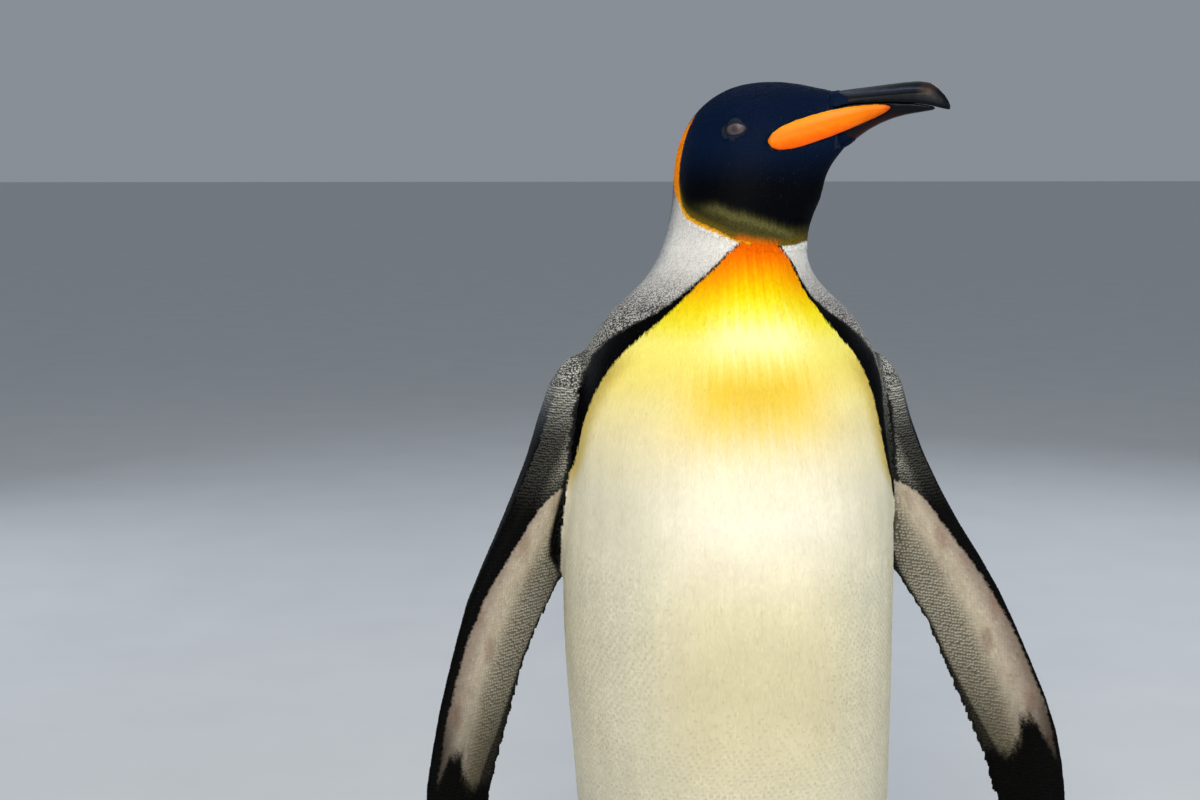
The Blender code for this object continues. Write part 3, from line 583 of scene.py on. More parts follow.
def eyeAxes(word):
    # outward, forward and upward directions of an eye, tilted with its opening
    tilt = math.radians(eyeShape["tilt"])
    outward = headLeft * (1 if word == "left" else -1)
    forward = headAhead * math.cos(tilt) + Vector((0, 0, -math.sin(tilt)))
    upward = Vector((0, 0, math.cos(tilt))) + headAhead * math.sin(tilt)
    return np.array(outward), np.array(forward), np.array(upward)


def almond(x, y):
    return (x ** eyeShape["power"] + y ** eyeShape["power"]) ** (1 / eyeShape["power"])


def eyeReach(points, grow=0.0, sides=words):
    # 1 on the edge of the almond opening between the lids, less inside it, more outside
    reaches = []
    for word in sides:
        outward, forward, upward = eyeAxes(word)
        rel = points - np.array(eyeMiddles[word])
        x = np.abs(rel @ forward) / (eyeShape["halfLong"] + grow)
        y = np.abs(rel @ upward) / (eyeShape["halfHigh"] + grow)
        reaches.append(np.where(rel @ outward > 0, almond(x, y), 9.0))
    return np.minimum.reduce(reaches)


def smoothedSkin(points, triangles, edges, kind):
    # the solids' flat faces are smoothed out, and what that moved is brought back to the solids
    rounds = np.array([skinPlan["rounds"][part] for part in kind.tolist()], float)
    shoulder = smoothStep(0.52, 0.58, points[:, 2]) * smoothStep(0.70, 0.64, points[:, 2])
    soft = (kind == "flipper") | (kind == "trunk")
    rounds = np.maximum(rounds, np.where(soft, skinPlan["shoulderRounds"] * shoulder, 0))
    rounds = relaxed(rounds, edges, 12)
    for step in range(int(rounds.max())):
        points = relaxed(points, edges, 1, 0.6 * np.clip(rounds - step, 0, 1))
    solids = solidTree(flesh + ("eye_left", "eye_right"))
    for spread, everywhere in ((30, True), (10, False)):
        away = np.zeros(len(points))
        for k, point in enumerate(points.tolist()):
            hit, hitNormal, _, _ = solids.find_nearest(point)
            away[k] = (Vector(point) - hit).dot(hitNormal)
        away = relaxed(np.clip(away, -0.004, 0.002), edges, spread)
        thin = relaxed(((kind == "flipper") & (points[:, 2] < 0.5)).astype(float), edges, 4)
        points = points - vertexNormals(points, triangles) * (away * (1.0 if everywhere else thin))[:, None]
    return points


def cheekOver(word, points):
    # over each eyeball the cheek is made whole again, with a soft swelling
    outward, forward, upward = eyeAxes(word)
    rel = points - np.array(eyeMiddles[word])
    u, v, level = rel @ forward, rel @ upward, rel @ outward
    away = np.hypot(u, v)
    terms = np.stack([np.ones_like(u), u, v, u * u, u * v, v * v], axis=1)
    ring = (away > 0.0120) & (away < 0.0200) & (level > 0.004)
    whole = terms @ np.linalg.lstsq(terms[ring], level[ring], rcond=None)[0]
    swelling = eyeShape["swell"] * np.exp(-(away / eyeShape["swellReach"]) ** 2)
    change = (whole - level) * smoothStep(0.0125, 0.0095, away) + swelling
    return points + np.outer(change * (level > 0.004), outward)


def socketIn(word, points):
    # the eye's socket, a little wider than the lids' opening
    outward = eyeAxes(word)[0]
    rel = points - np.array(eyeMiddles[word])
    away = rel - np.outer(rel @ outward, outward)
    ball = np.sqrt(np.maximum(eyeShape["radius"] ** 2 - (away ** 2).sum(1), 0))
    sink = np.maximum((rel @ outward) - (ball - 0.0008), 0)
    return points - np.outer(sink * smoothStep(1.06, 0.94, eyeReach(points, 0.0012, (word,))), outward)


def makeSkinSurface():
    # the eyeballs fill their sockets first, so that the cheeks stay whole
    whole = remeshed("skin_base", flesh + ("eye_left", "eye_right"), skinPlan["voxel"], skinPlan["overlap"])
    points, triangles, edges = meshArrays(whole)
    owner = nearestParts(points)
    kind = np.array([name.split("_")[0] for name in owner])
    points = smoothedSkin(points, triangles, edges, kind)
    depth = np.array([skinPlan["depth"][part] for part in kind.tolist()])
    depth = relaxed(depth, edges, 14)
    face = smoothStep(0.055, 0.085, reachAhead(points)) * (points[:, 2] > 0.76)
    depth = depth * (1 - 0.45 * face)
    points = points - vertexNormals(points, triangles) * depth[:, None]
    for word in words:
        points = cheekOver(word, points)
    for word in words:
        points = socketIn(word, points)
    surface = dict(points=points, triangles=triangles, edges=edges, owner=owner, kind=kind, depth=depth,
                   normals=vertexNormals(points, triangles), mesh=whole, tree=searchTree(points, triangles))
    surface["finder"] = KDTree(len(points))
    for k, point in enumerate(points.tolist()):
        surface["finder"].insert(point, k)
    surface["finder"].balance()
    surface["flow"] = flowDirections(surface)
    print("skin surface:", len(points), "points")
    return surface


def flowDirections(surface):
    # the lie of the plumage: back from the bill, down the neck and body, along flippers and tail
    points, normals, kind = surface["points"], surface["normals"], surface["kind"]
    flow = np.tile(np.array([0.0, 0.0, -1.0]), (len(points), 1))
    away = unit(points - np.array(headPlace(0.120, 0.815)))
    onHead = smoothStep(0.715, 0.775, points[:, 2])[:, None]
    flow = flow * (1 - 0.45 * onHead) + away * 0.75 * onHead
    rump = smoothStep(0.20, 0.09, points[:, 2])[:, None] * (kind == "trunk")[:, None]
    flow = flow + np.array([0.0, 0.55, 0.0]) * rump
    for word, info in flippers.items():
        rows = info["rows"]
        middle = info["along"] * ((rows[:, 1] + rows[:, 2]) / 2)[:, None] + info["inward"] * rows[:, 3:4]
        middle[:, 2] = rows[:, 0]
        steps = unit(middle[:-1] - middle[1:])
        levels = (rows[1:, 0] + rows[:-1, 0]) / 2
        way = np.stack([np.interp(points[:, 2], levels, steps[:, k]) for k in range(3)], axis=1)
        mask = surface["owner"] == "flipper_" + word
        flow[mask] = way[mask]
    flow[kind == "tail"] = unit(np.array([0.0, 0.50, -0.86]))
    flow[kind == "foot"] = np.array([0.0, -1.0, -0.25])
    for _ in range(12):
        flow = relaxed(flow, surface["edges"], 2, 0.8)
        flow = flow - normals * (flow * normals).sum(1)[:, None]
        flow = unit(flow)
    return flow


toneMarks = dict(
    legBack="6A655C", legBackTip="9A9488",
    # ground and tip colours
    ankle=("3A352E", "6A6256"), tail=("15171A", "33373D"), foot=("141312", "2B2926"),
    tipGain=3.9, groundLoss=0.85,  # contrast of the speckles on neck, shoulders and back
)


def tones(points, normals, kind, owner, ragged=0.0):
    # ground and tip colours for feathers; the skin takes the ground alone
    base = bodyColour(points, ragged)
    height, angle = points[:, 2], bodyAngle(points)
    inside = frontWeight(points, height, angle) + ragged
    grey = smoothStep(0.0, -0.004, inside) * smoothStep(0.002, -0.002, aboveHood(points))
    grey = grey * np.isin(kind, ("trunk", "neck", "flipper")) * smoothStep(0.004, 0.02, base.mean(axis=1))
    strong = grey * (0.05 + 0.95 * smoothStep(0.700, 0.650, height))
    strong = strong * (1 - 0.60 * smoothStep(92, 125, np.abs(angle)))
    ground = base * (1 - toneMarks["groundLoss"] * strong)[:, None]
    tip = base * (1 + toneMarks["tipGain"] * strong)[:, None]
    for word in words:
        mask = owner == "flipper_" + word
        if mask.any():
            ground[mask], tip[mask] = flipperTones(word, points[mask], normals[mask])
    legs = kind == "leg"
    backOfLeg = smoothStep(0.1, 0.8, normals[:, 1]) * legs
    cream = ramp(markings["front"], height)
    ground = where(legs, blendTo(cream * 0.9, toneMarks["legBack"], backOfLeg), ground)
    tip = where(legs, blendTo(cream, toneMarks["legBackTip"], backOfLeg), tip)
    masks = (("ankle", legs & (height < 0.055)), ("tail", kind == "tail"), ("foot", kind == "foot"))
    for part, mask in masks:
        ground, tip = where(mask, toneMarks[part][0], ground), where(mask, toneMarks[part][1], tip)
    return ground, tip


vanePlan = dict(
    # metres from root to root, along each vane and across it
    face=(0.00100, 0.0028, 0.00135), head=(0.00125, 0.0046, 0.00170), neck=(0.00145, 0.0064, 0.00190),
    breast=(0.00165, 0.0120, 0.00225), belly=(0.00205, 0.0098, 0.00320), shoulder=(0.00165, 0.0062, 0.00215),
    back=(0.00225, 0.0100, 0.00320), leg=(0.00210, 0.0072, 0.00240), tail=(0.00300, 0.0150, 0.00300),
    flipper=(0.00170, 0.0058, 0.00210), scute=(0.0022, 0.0034, 0.0030),
)
vaneDefaults = dict(
    stray=0.05,  # how far the vanes lie off the flow
    lift=1.0, ruffle=0.08,  # height of the tips in depths of the plumage, and its spread
    thick=0.08, camber=0.10,  # shares of the width
    variety=0.07,  # spread of brightness from vane to vane
    ragged=0.0007,  # metres by which each vane misreads the markings' edges
    sideTone=(0.75, 0.95), centreTone=0.55,  # weight of the tip's colour along the sides and on the middle
    free=False,  # a free vane leaves the skin
    raised=0.0,  # light on the tips, taken from the roots
)
sleek = dict(centreTone=0.08, sideTone=(0.0, 0.62), thick=0.05)
coatPlan = dict(
    head=dict(variety=0.05, camber=0.06, ragged=0.0005, ruffle=0.05),
    neck=dict(sleek, variety=0.04, ragged=0.0005, camber=0.03, ruffle=0.02, lift=0.45, stray=0.03),
    breast=dict(sleek, variety=0.02, ragged=0.0005, camber=0.02, ruffle=0.0, lift=0.40, stray=0.02),
    belly=dict(variety=0.022, centreTone=0.65, camber=0.03, thick=0.05, ruffle=0.0, lift=0.40, stray=0.02),
    vent=dict(sleek, variety=0.03, camber=0.05, ruffle=0.02, lift=0.5),
    back=dict(sleek, variety=0.05, camber=0.05, lift=0.5),
    loin=dict(sleek, variety=0.05, camber=0.05, lift=0.5),
    legs=dict(variety=0.06),
    tufts=dict(variety=0.02, centreTone=0.75, sideTone=(0.5, 0.9), thick=0.05, ruffle=0.03, lift=0.62,
               stray=0.02, raised=0.045),
    flipper=dict(variety=0.06, stray=0.02, centreTone=0.10, sideTone=(0.10, 0.75), ragged=0.0,
                 ruffle=0.03, lift=0.8),
    comb=dict(variety=0.08, centreTone=0.2, sideTone=(0.1, 0.6), ragged=0.0, free=True, thick=0.16),
    lores=dict(variety=0.05, stray=0.08, camber=0.06, ragged=0.0005),
    tail=dict(variety=0.10, stray=0.02, centreTone=0.35, lift=0.8, ruffle=0.10, camber=0.06),
    scutes=dict(variety=0.12, stray=0.10, centreTone=0.9, lift=1.2, camber=0.05),
    # heights at which the coat is parted, and half the angle of its front
    breastFoot=0.47, ventTop=0.24, backFoot=0.42, frontHalf=92,
    bareFloor=0.004, flipperTop=0.594,  # lowest roots, and where the flippers' rows take over
)


def vaneShape():
    # a six-sided double cone, drawn out into a leaf: along, across and up, from root to tip
    bm = bmesh.new()
    bmesh.ops.create_uvsphere(bm, u_segments=6, v_segments=2, radius=1.0)
    bmesh.ops.triangulate(bm, faces=bm.faces)
    bm.verts.index_update()
    points = np.array([vert.co[:] for vert in bm.verts])
    faces = np.array([[vert.index for vert in face.verts] for face in bm.faces])
    bm.free()
    along = np.interp((points[:, 0] + 1) / 2, (0, 0.25, 0.5, 0.75, 1), (0, 0.38, 0.62, 0.78, 1))
    across = np.where(np.abs(points[:, 1]) > 0.1, np.sign(points[:, 1]), 0.0)
    across = across * np.where(along > 0.65, 0.80, 1.0)
    return along, across, np.round(points[:, 2]), faces


def fieldMaps(surface):
    # spacing, length and width of the plumage at each point of the skin
    points, kind = surface["points"], surface["kind"]
    height, angle = points[:, 2], bodyAngle(points)
    inside = frontWeight(points, height, angle)
    sizes = {part: np.array(size) for part, size in vanePlan.items()}
    outside = smoothStep(0.004, -0.004, inside)
    shoulder = smoothStep(0.50, 0.56, height) * outside * smoothStep(150, 120, np.abs(angle))
    face = smoothStep(0.040, 0.075, reachAhead(points)) * (height > 0.765)
    face = np.maximum(face, smoothStep(2.6, 1.3, eyeReach(points)))
    weights = (
        ("back", outside),
        ("shoulder", shoulder),
        ("breast", smoothStep(0.48, 0.56, height) * smoothStep(-0.004, 0.004, inside)),
        ("neck", smoothStep(0.64, 0.70, height) * outside),
        ("head", smoothStep(-0.02, 0.01, aboveHood(points)) * (height > 0.70)),
        ("face", face),
    )
    values = np.tile(sizes["belly"], (len(points), 1))
    for part, weight in weights:
        values = blendTo(values, sizes[part], weight)
    for part in ("leg", "tail", "flipper"):
        values[kind == part] = sizes[part]
    return relaxed(values, surface["edges"], 8)


def scattered(surface, maps, keep):
    # roots spread evenly over the skin, no two nearer than the local spacing
    triangles = surface["triangles"][keep[surface["triangles"]].all(axis=1)]
    corners = surface["points"][triangles]
    area = np.linalg.norm(np.cross(corners[:, 1] - corners[:, 0], corners[:, 2] - corners[:, 0]), axis=1) / 2
    spacing = maps[triangles, 0].mean(axis=1)
    wanted = 3.2 * area / spacing ** 2
    total = int(wanted.sum())
    chosen = np.sort(rng.choice(len(triangles), size=total, p=wanted / wanted.sum()))
    chosen = rng.permutation(chosen)
    first, second = rng.random(total), rng.random(total)
    flip = first + second > 1
    first, second = np.where(flip, 1 - first, first), np.where(flip, 1 - second, second)
    share = np.stack([1 - first - second, first, second], axis=1)

    def spread(values):
        return (values[triangles[chosen]] * share[:, :, None]).sum(axis=1)

    root = spread(surface["points"])
    spacings = spread(maps)[:, 0]
    tree = KDTree(total)
    for k, point in enumerate(root.tolist()):
        tree.insert(point, k)
    tree.balance()
    crowded = bytearray(total)
    taken = []
    for k in range(total):
        if crowded[k]:
            continue
        taken.append(k)
        for _, other, _ in tree.find_range(root[k], spacings[k]):
            crowded[other] = 1
    taken = np.array(taken)
    corner = triangles[chosen[taken], np.argmax(share[taken], axis=1)]
    return dict(root=root[taken], normal=unit(spread(surface["normals"])[taken]),
                flow=unit(spread(surface["flow"])[taken]), size=spread(maps)[taken],
                depth=spread(surface["depth"][:, None])[taken, 0],
                kind=surface["kind"][corner], owner=surface["owner"][corner])


def placedRoots(root, size, surface):
    # roots given by their place alone take the rest from the nearest point of the skin
    index = np.array([surface["finder"].find(point)[1] for point in root.tolist()])
    size = np.broadcast_to(np.asarray(size, float), (len(root), 3))
    return dict(root=root, size=size, normal=surface["normals"][index], flow=surface["flow"][index],
                depth=surface["depth"][index], kind=surface["kind"][index], owner=surface["owner"][index])


def joinRoots(groups):
    return {key: np.concatenate([group[key] for group in groups]) for key in groups[0]}


def select(roots, mask):
    return {key: value[mask] for key, value in roots.items()}


def vanes(name, roots, tree, patch, material, options):
    # one mesh of many vanes; patch gives each root's place on an unwrap of the skin
    plan = {**vaneDefaults, **options}
    along, across, up, faces = vaneShape()
    count, corners = len(roots["root"]), len(along)
    root, normal, flow = roots["root"], roots["normal"], roots["flow"]
    jitter = rng.normal(0, 1, (count, 4))
    flow = unit(flow + unit(np.cross(normal, flow)) * (jitter[:, 0:1] * plan["stray"]))
    side = unit(np.cross(normal, flow))
    length = roots["size"][:, 1] * (1 + 0.08 * jitter[:, 1])
    width = roots["size"][:, 2] * (1 + 0.06 * jitter[:, 2])
    lift = roots["depth"] * (plan["lift"] + plan["ruffle"] * jitter[:, 3])
    centre = np.empty((count, 3, 3))
    centre[:, 0] = root - normal * 0.00012
    tipNormal = normal.copy()
    for k, part, height in ((1, 0.5, 0.62), (2, 1.0, 1.0)):
        ahead = root + flow * (length * part)[:, None]
        if not plan["free"]:
            for i, point in enumerate(ahead.tolist()):
                hit, hitNormal, _, _ = tree.find_nearest(point)
                ahead[i] = hit[:]
                tipNormal[i] = hitNormal[:]
            tipNormal = unit(tipNormal + normal * 0.7)
            ahead = ahead + tipNormal * (lift * height)[:, None]
        centre[:, k] = ahead
    t = along
    weights = np.stack([(1 - t) * (1 - 2 * t), 4 * t * (1 - t), t * (2 * t - 1)], axis=0)
    points = np.einsum("nkc,kt->ntc", centre, weights)
    thick = np.minimum(0.00020, width * plan["thick"])
    rise = np.where(up > 0, 1.0, np.where(up < 0, -0.45, 0.0))
    points += side[:, None, :] * (across[None, :] * width[:, None] / 2)[:, :, None]
    sag = plan["camber"] * width
    rise = rise[None, :] * thick[:, None] - np.abs(across)[None, :] * sag[:, None]
    points += normal[:, None, :] * rise[:, :, None]
    points[:, :, 2] = np.maximum(points[:, :, 2], 0.0004)
    shade = np.clip(1 + plan["variety"] * rng.normal(0, 1, count), 0.7, 1.3)
    ragged = rng.normal(0, plan["ragged"], count)
    # each vane's corners take the marking where they lie
    ground, tip = tones(points.reshape(-1, 3), *(np.repeat(value, corners, axis=0) for value in
                                                (normal, roots["kind"], roots["owner"], ragged)))
    low, high = plan["sideTone"]
    weightTip = np.where(along < 0.01, 0.0, np.where(along > 0.99, 1.0, np.where(along > 0.65, high, low)))
    weightTip = np.tile(np.where(up != 0, plan["centreTone"], weightTip), count)
    colours = blendTo(ground, tip, weightTip) * np.repeat(shade, corners)[:, None]
    # raised tips catch a little more light than their roots
    colours = colours * (1 + plan["raised"] * np.tile(np.where(along > 0.65, 1.0, -2.5), count))[:, None]
    allFaces = (faces[None] + corners * np.arange(count)[:, None, None]).reshape(-1, 3)
    mesh = bpy.data.meshes.new(name)
    mesh.from_pydata(points.reshape(-1, 3), [], allFaces)
    paintPoints(mesh, "plumage", colours, 0.0004)
    uv = patch(roots)[:, None, :] + 0.0014 * np.stack([across, 2 * along - 1], axis=1)[None]
    corner = np.empty(len(mesh.loops), np.int32)
    mesh.loops.foreach_get("vertex_index", corner)
    uvLayer = mesh.uv_layers.new(name="OFBake")
    uvLayer.data.foreach_set("uv", uv.reshape(-1, 2)[corner].astype(np.float32).ravel())
    mesh.shade_smooth()
    mesh.set_sharp_from_angle(angle=math.radians(75))
    item = linkObject(name, mesh, material)
    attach(item, "root")
    print(name, "-", count, "vanes,", len(allFaces), "triangles")


def paintPoints(mesh, layerName, colours, least=0.0003):
    layer = mesh.color_attributes.new(layerName, "FLOAT_COLOR", "POINT")
    rgba = np.ones((len(mesh.vertices), 4), np.float32)
    rgba[:, :3] = np.clip(colours, least, 0.95)
    layer.data.foreach_set("color", rgba.ravel())


def fitted(u, v):
    # places on an unwrap, kept a little inside its edges
    return 0.01 + 0.98 * np.clip(np.stack([u, v], axis=1), 0, 1)


def aroundPatch(half, low, high, middle=0.0):
    # an unwrap round the body: angle across, height up
    def place(roots):
        angle = (bodyAngle(roots["root"]) - middle + 180) % 360 - 180
        return fitted((angle + half) / (2 * half), (roots["root"][:, 2] - low) / (high - low))
    return place


def headPatch(roots):
    # an unwrap round the head: angle from the bill across, steepness up
    rel = roots["root"] - np.array(headPlace(0.02, 0.79))
    angle = np.degrees(np.arctan2(rel @ leftArray, rel @ aheadArray))
    steep = np.degrees(np.arctan2(rel[:, 2], np.hypot(rel @ leftArray, rel @ aheadArray)))
    return fitted((angle + 180) / 360, (steep + 80) / 170)


def flipperPatch(word):
    # inner face on one half, outer face on the other
    def place(roots):
        share = np.clip(flipperPlace(word, roots["root"]), 0, 1)
        inner = roots["normal"] @ flippers[word]["inward"] > 0
        u = np.where(inner, 0.02 + 0.46 * share, 0.98 - 0.46 * share)
        v = (roots["root"][:, 2] - 0.15) / 0.49
        return np.stack([u, 0.01 + 0.98 * np.clip(v, 0, 1)], axis=1)
    return place


def lowerPatch(roots):
    # legs, tail and feet side by side, each round its own middle
    out = np.zeros((len(roots["root"]), 2))
    for number, owner in enumerate(("leg_left", "leg_right", "tail", "foot_left", "foot_right")):
        mask = roots["owner"] == owner
        low, high = (np.array(c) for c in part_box(owner))
        rel = roots["root"][mask] - (low + high) / 2
        part = rel / (high - low) + 0.5
        if owner.startswith("foot"):
            u, v = part[:, 0], part[:, 1]
        else:
            u, v = np.arctan2(rel[:, 0], -rel[:, 1]) / (2 * math.pi) + 0.5, part[:, 2]
        out[mask, 0] = (number + 0.04 + 0.92 * np.clip(u, 0, 1)) / 5
        out[mask, 1] = 0.01 + 0.98 * np.clip(v, 0, 1)
    return out


latticePlan = dict(top=0.470, bottom=0.150, rowStep=0.0034, across=0.0062, girth=0.84, stray=0.00025,
                   size=(0.0050, 0.0074, 0.0050))


def bellyTufts(surface):
    # slightly raised feather tips in diagonal rows on the flanks and lower belly
    plan, targets = latticePlan, []
    for number, level in enumerate(np.arange(plan["top"], plan["bottom"], -plan["rowStep"])):
        middle = Vector((axisPoint.x, axisPoint.y, level))
        count = int(plan["girth"] / plan["across"])
        for place in (np.arange(count) + 0.5 * (number % 2)) / count * 360:
            if 84 < place < 276:
                continue
            turn = math.radians(place + 3 * math.sin(level * 40))
            way = Vector((math.sin(turn), -math.cos(turn), 0))
            hit = surface["tree"].ray_cast(middle + way * 0.26, -way, 0.20)[0]
            if hit is not None:
                targets.append(hit[:])
    targets = np.array(targets) + rng.normal(0, plan["stray"], (len(targets), 3))
    roots = placedRoots(targets, plan["size"], surface)
    angle, height = np.abs(bodyAngle(targets)), targets[:, 2]
    flank = smoothStep(20, 50, angle) * smoothStep(0.475, 0.43, height)
    flank = np.maximum(flank, smoothStep(0.37, 0.29, height))
    return select(roots, (roots["kind"] == "trunk") & (rng.random(len(targets)) < flank * 1.3))


rowPlan = dict(top=0.600, fan=96, stray=0.00013, heights=(0.500, 0.530), rowStep=(0.0031, 0.0021),
               columnStep=(0.0026, 0.0019), length=(0.0066, 0.0046), width=(0.0029, 0.0022))


def rowValue(key, height):
    return np.interp(height, rowPlan["heights"], rowPlan[key])


def flipperRows(word, surface):
    # scale-like feathers in regular rows round the flipper, from where it leaves the body to its tip
    info = flippers[word]
    rows, along, inward = info["rows"], info["along"], info["inward"]
    own = (surface["owner"] == "flipper_" + word)[surface["triangles"]].all(axis=1)
    tree = searchTree(surface["points"], surface["triangles"][own])
    levels = [rowPlan["top"]]
    while levels[-1] > rows[0, 0] + 0.001:
        levels.append(levels[-1] - rowValue("rowStep", levels[-1]))
    roots = []
    for number, level in enumerate(levels):
        lead, trail, depth = (np.interp(level, rows[:, 0], rows[:, k]) for k in (1, 2, 3))
        half, middle = (lead - trail) / 2, (lead + trail) / 2
        ring = []
        for turn in np.linspace(0, 2 * math.pi, rowPlan["fan"], endpoint=False):
            c, s = math.cos(turn), math.sin(turn)
            target = along * (middle + half * 0.86 * c) + inward * depth + np.array([0, 0, level])
            way = unit(along * c * 0.35 * abs(c) + inward * s)
            hit = tree.ray_cast(Vector(target + way * 0.09), Vector(-way), 0.12)[0]
            if hit is not None:
                ring.append(hit[:])
        if len(ring) < 8:
            continue
        ring = np.array(ring + ring[:1])
        gaps = np.linalg.norm(np.diff(ring, axis=0), axis=1)
        steps = np.concatenate([[0], np.cumsum(gaps)])
        count = max(4, int(round(steps[-1] / rowValue("columnStep", level))))
        places = (np.arange(count) + 0.5 * (number % 2)) / count * steps[-1]
        line = np.stack([np.interp(places, steps, ring[:, k]) for k in range(3)], axis=1)
        # nothing is planted across the trunk, where the ring has a gap
        cell = np.clip(np.searchsorted(steps, places) - 1, 0, len(gaps) - 1)
        roots.append(line[gaps[cell] < 0.008])
    roots = np.concatenate(roots)
    roots = roots + rng.normal(0, rowPlan["stray"], roots.shape)
    size = np.stack([rowValue(key, roots[:, 2]) for key in ("columnStep", "length", "width")], axis=1)
    return placedRoots(roots, size, surface)


combPlan = dict(top=0.440, bottom=0.235, step=0.0023, inset=0.0034, spread=0.24,
                size=(0.0020, 0.0078, 0.0023))


def flipperComb(word, surface):
    # a comb of stiff little feathers along the trailing edge
    info = flippers[word]
    edge = info["edge"]
    levels = np.arange(combPlan["top"], combPlan["bottom"], -combPlan["step"])
    targets = np.outer(np.interp(levels, edge[:, 0], edge[:, 1]) + combPlan["inset"], info["along"])
    targets = targets + np.outer(np.interp(levels, edge[:, 0], edge[:, 2]), info["inward"])
    targets[:, 2] = levels
    roots = placedRoots(targets, combPlan["size"], surface)
    roots["normal"] = np.tile(info["inward"], (len(levels), 1))
    roots["flow"] = unit(roots["flow"] - info["along"] * combPlan["spread"])
    roots["owner"] = np.full(len(levels), "flipper_" + word)
    return roots


def clearOfPlates(roots):
    # which roots leave the bill plates bare
    plates = [solidTree(["bill_plate_" + word]) for word in words]
    clear = np.ones(len(roots["root"]), bool)
    tips = roots["root"] + roots["flow"] * roots["size"][:, 1:2] * 0.9
    for k in np.flatnonzero((roots["kind"] == "head") & (reachAhead(roots["root"]) > 0.035)):
        for plate in plates:
            for point, gap in ((roots["root"][k], 0.0010), (tips[k], 0.0012)):
                clear[k] = clear[k] and plate.find_nearest(Vector(point), gap)[0] is None
    return clear


loresPlan = dict(
    first=0.0890, last=0.1120, rowStep=0.00125, turnStep=3.0, edge=0.0930, depth=0.0008, stray=0.0002,
    size=(0.001, 0.0042, 0.0016),
    # where the turns start, the turn of the point, its spread and reach, and the height of the middle
    parts=(("bill_upper", 0, 26, 20, 0.011, 0.8275), ("bill_lower", -180, -90, 34, 0.014, 0.8255)),
)


def billBase(surface):
    # small feathers that run out over the base of the bill, in a point on each side and one under the chin
    plan, targets, ways = loresPlan, [], []
    for source, start, peak, spread, rise, level in plan["parts"]:
        tree = solidTree([source])
        for reach in np.arange(plan["first"], plan["last"], plan["rowStep"]):
            for turn in np.arange(start, start + 180, plan["turnStep"]):
                aside = min(turn, 180 - turn) if source == "bill_upper" else turn
                if reach > plan["edge"] + rise * math.exp(-((aside - peak) / spread) ** 2):
                    continue
                way = headLeft * math.cos(math.radians(turn)) + Vector((0, 0, math.sin(math.radians(turn))))
                base = headPlace(reach, level)
                hit, normal, _, _ = tree.ray_cast(base + way * 0.05, -way)
                if hit is not None and abs(normal.dot(headAhead)) < 0.6 and (hit - base).length < 0.034:
                    targets.append(hit[:])
                    ways.append(normal[:])
    targets, ways = np.array(targets), np.array(ways)
    count = len(targets)
    roots = placedRoots(targets + rng.normal(0, plan["stray"], targets.shape), plan["size"], surface)
    back = -np.tile(aheadArray, (count, 1))
    roots.update(normal=ways, flow=unit(back - ways * (back * ways).sum(1)[:, None]),
                 depth=np.full(count, plan["depth"]), kind=np.full(count, "head"),
                 owner=np.full(count, "head"))
    return select(roots, clearOfPlates(roots))


tailPlan = dict(
    halfWidth=0.046, width=0.0084, slope=0.86, floorGap=0.010,
    # height and place behind the axis of the roots, and how many, above the tail and then below it
    rows=((0.110, 0.098, 15), (0.098, 0.104, 17), (0.086, 0.110, 17), (0.074, 0.060, 12), (0.056, 0.066, 12)),
)


def tailQuills(surface):
    # long stiff feathers over and under the wedge, all reaching towards its end
    middle = boxMiddle("tail").x
    targets, sizes = [], []
    for level, back, count in tailPlan["rows"]:
        for k in range(count):
            share = 2 * (k + 0.5) / count - 1
            end = tailPlan["floorGap"] + 0.012 * share * share + rng.uniform(0, 0.010)
            across = share * tailPlan["halfWidth"] * 0.9
            targets.append((middle + across, back - 0.012 * share * share, level))
            sizes.append((0.006, (level - end) / tailPlan["slope"], tailPlan["width"]))
    onSkin = [surface["points"][surface["finder"].find(target)[1]] for target in targets]
    return placedRoots(np.array(onSkin), sizes, surface)


def plantable(surface):
    # where the coat is rooted: not in the eyes, on the floor, on the feet, nor inside the bill
    points, normals, kind = surface["points"], surface["normals"], surface["kind"]
    keep = (kind != "foot") & ((kind != "flipper") | (points[:, 2] > coatPlan["flipperTop"]))
    keep &= (eyeReach(points, 0.0022) > 1.0) & (points[:, 2] > coatPlan["bareFloor"])
    reach = reachAhead(points)
    bill = solidTree(["bill_upper", "bill_lower"])
    chin = (reach > 0.0865) & (normals @ aheadArray > 0.75) & (points[:, 2] > 0.7965)
    for k in np.flatnonzero(chin & keep):
        keep[k] = bill.find_nearest(Vector(points[k]), 0.0010)[0] is None and reach[k] < 0.0920
    return keep


def bodyRoots(surface):
    roots = scattered(surface, fieldMaps(surface), plantable(surface))
    roots = select(roots, clearOfPlates(roots))
    # the quills alone clothe the tail, also where the trunk runs into it
    tail = solidTree(["tail"])
    low = np.flatnonzero((roots["kind"] == "trunk") & (roots["root"][:, 2] < 0.090))
    onTail = [k for k in low if tail.find_nearest(Vector(roots["root"][k]), 0.0025)[0] is not None]
    return select(roots, ~np.isin(np.arange(len(roots["root"])), onTail))


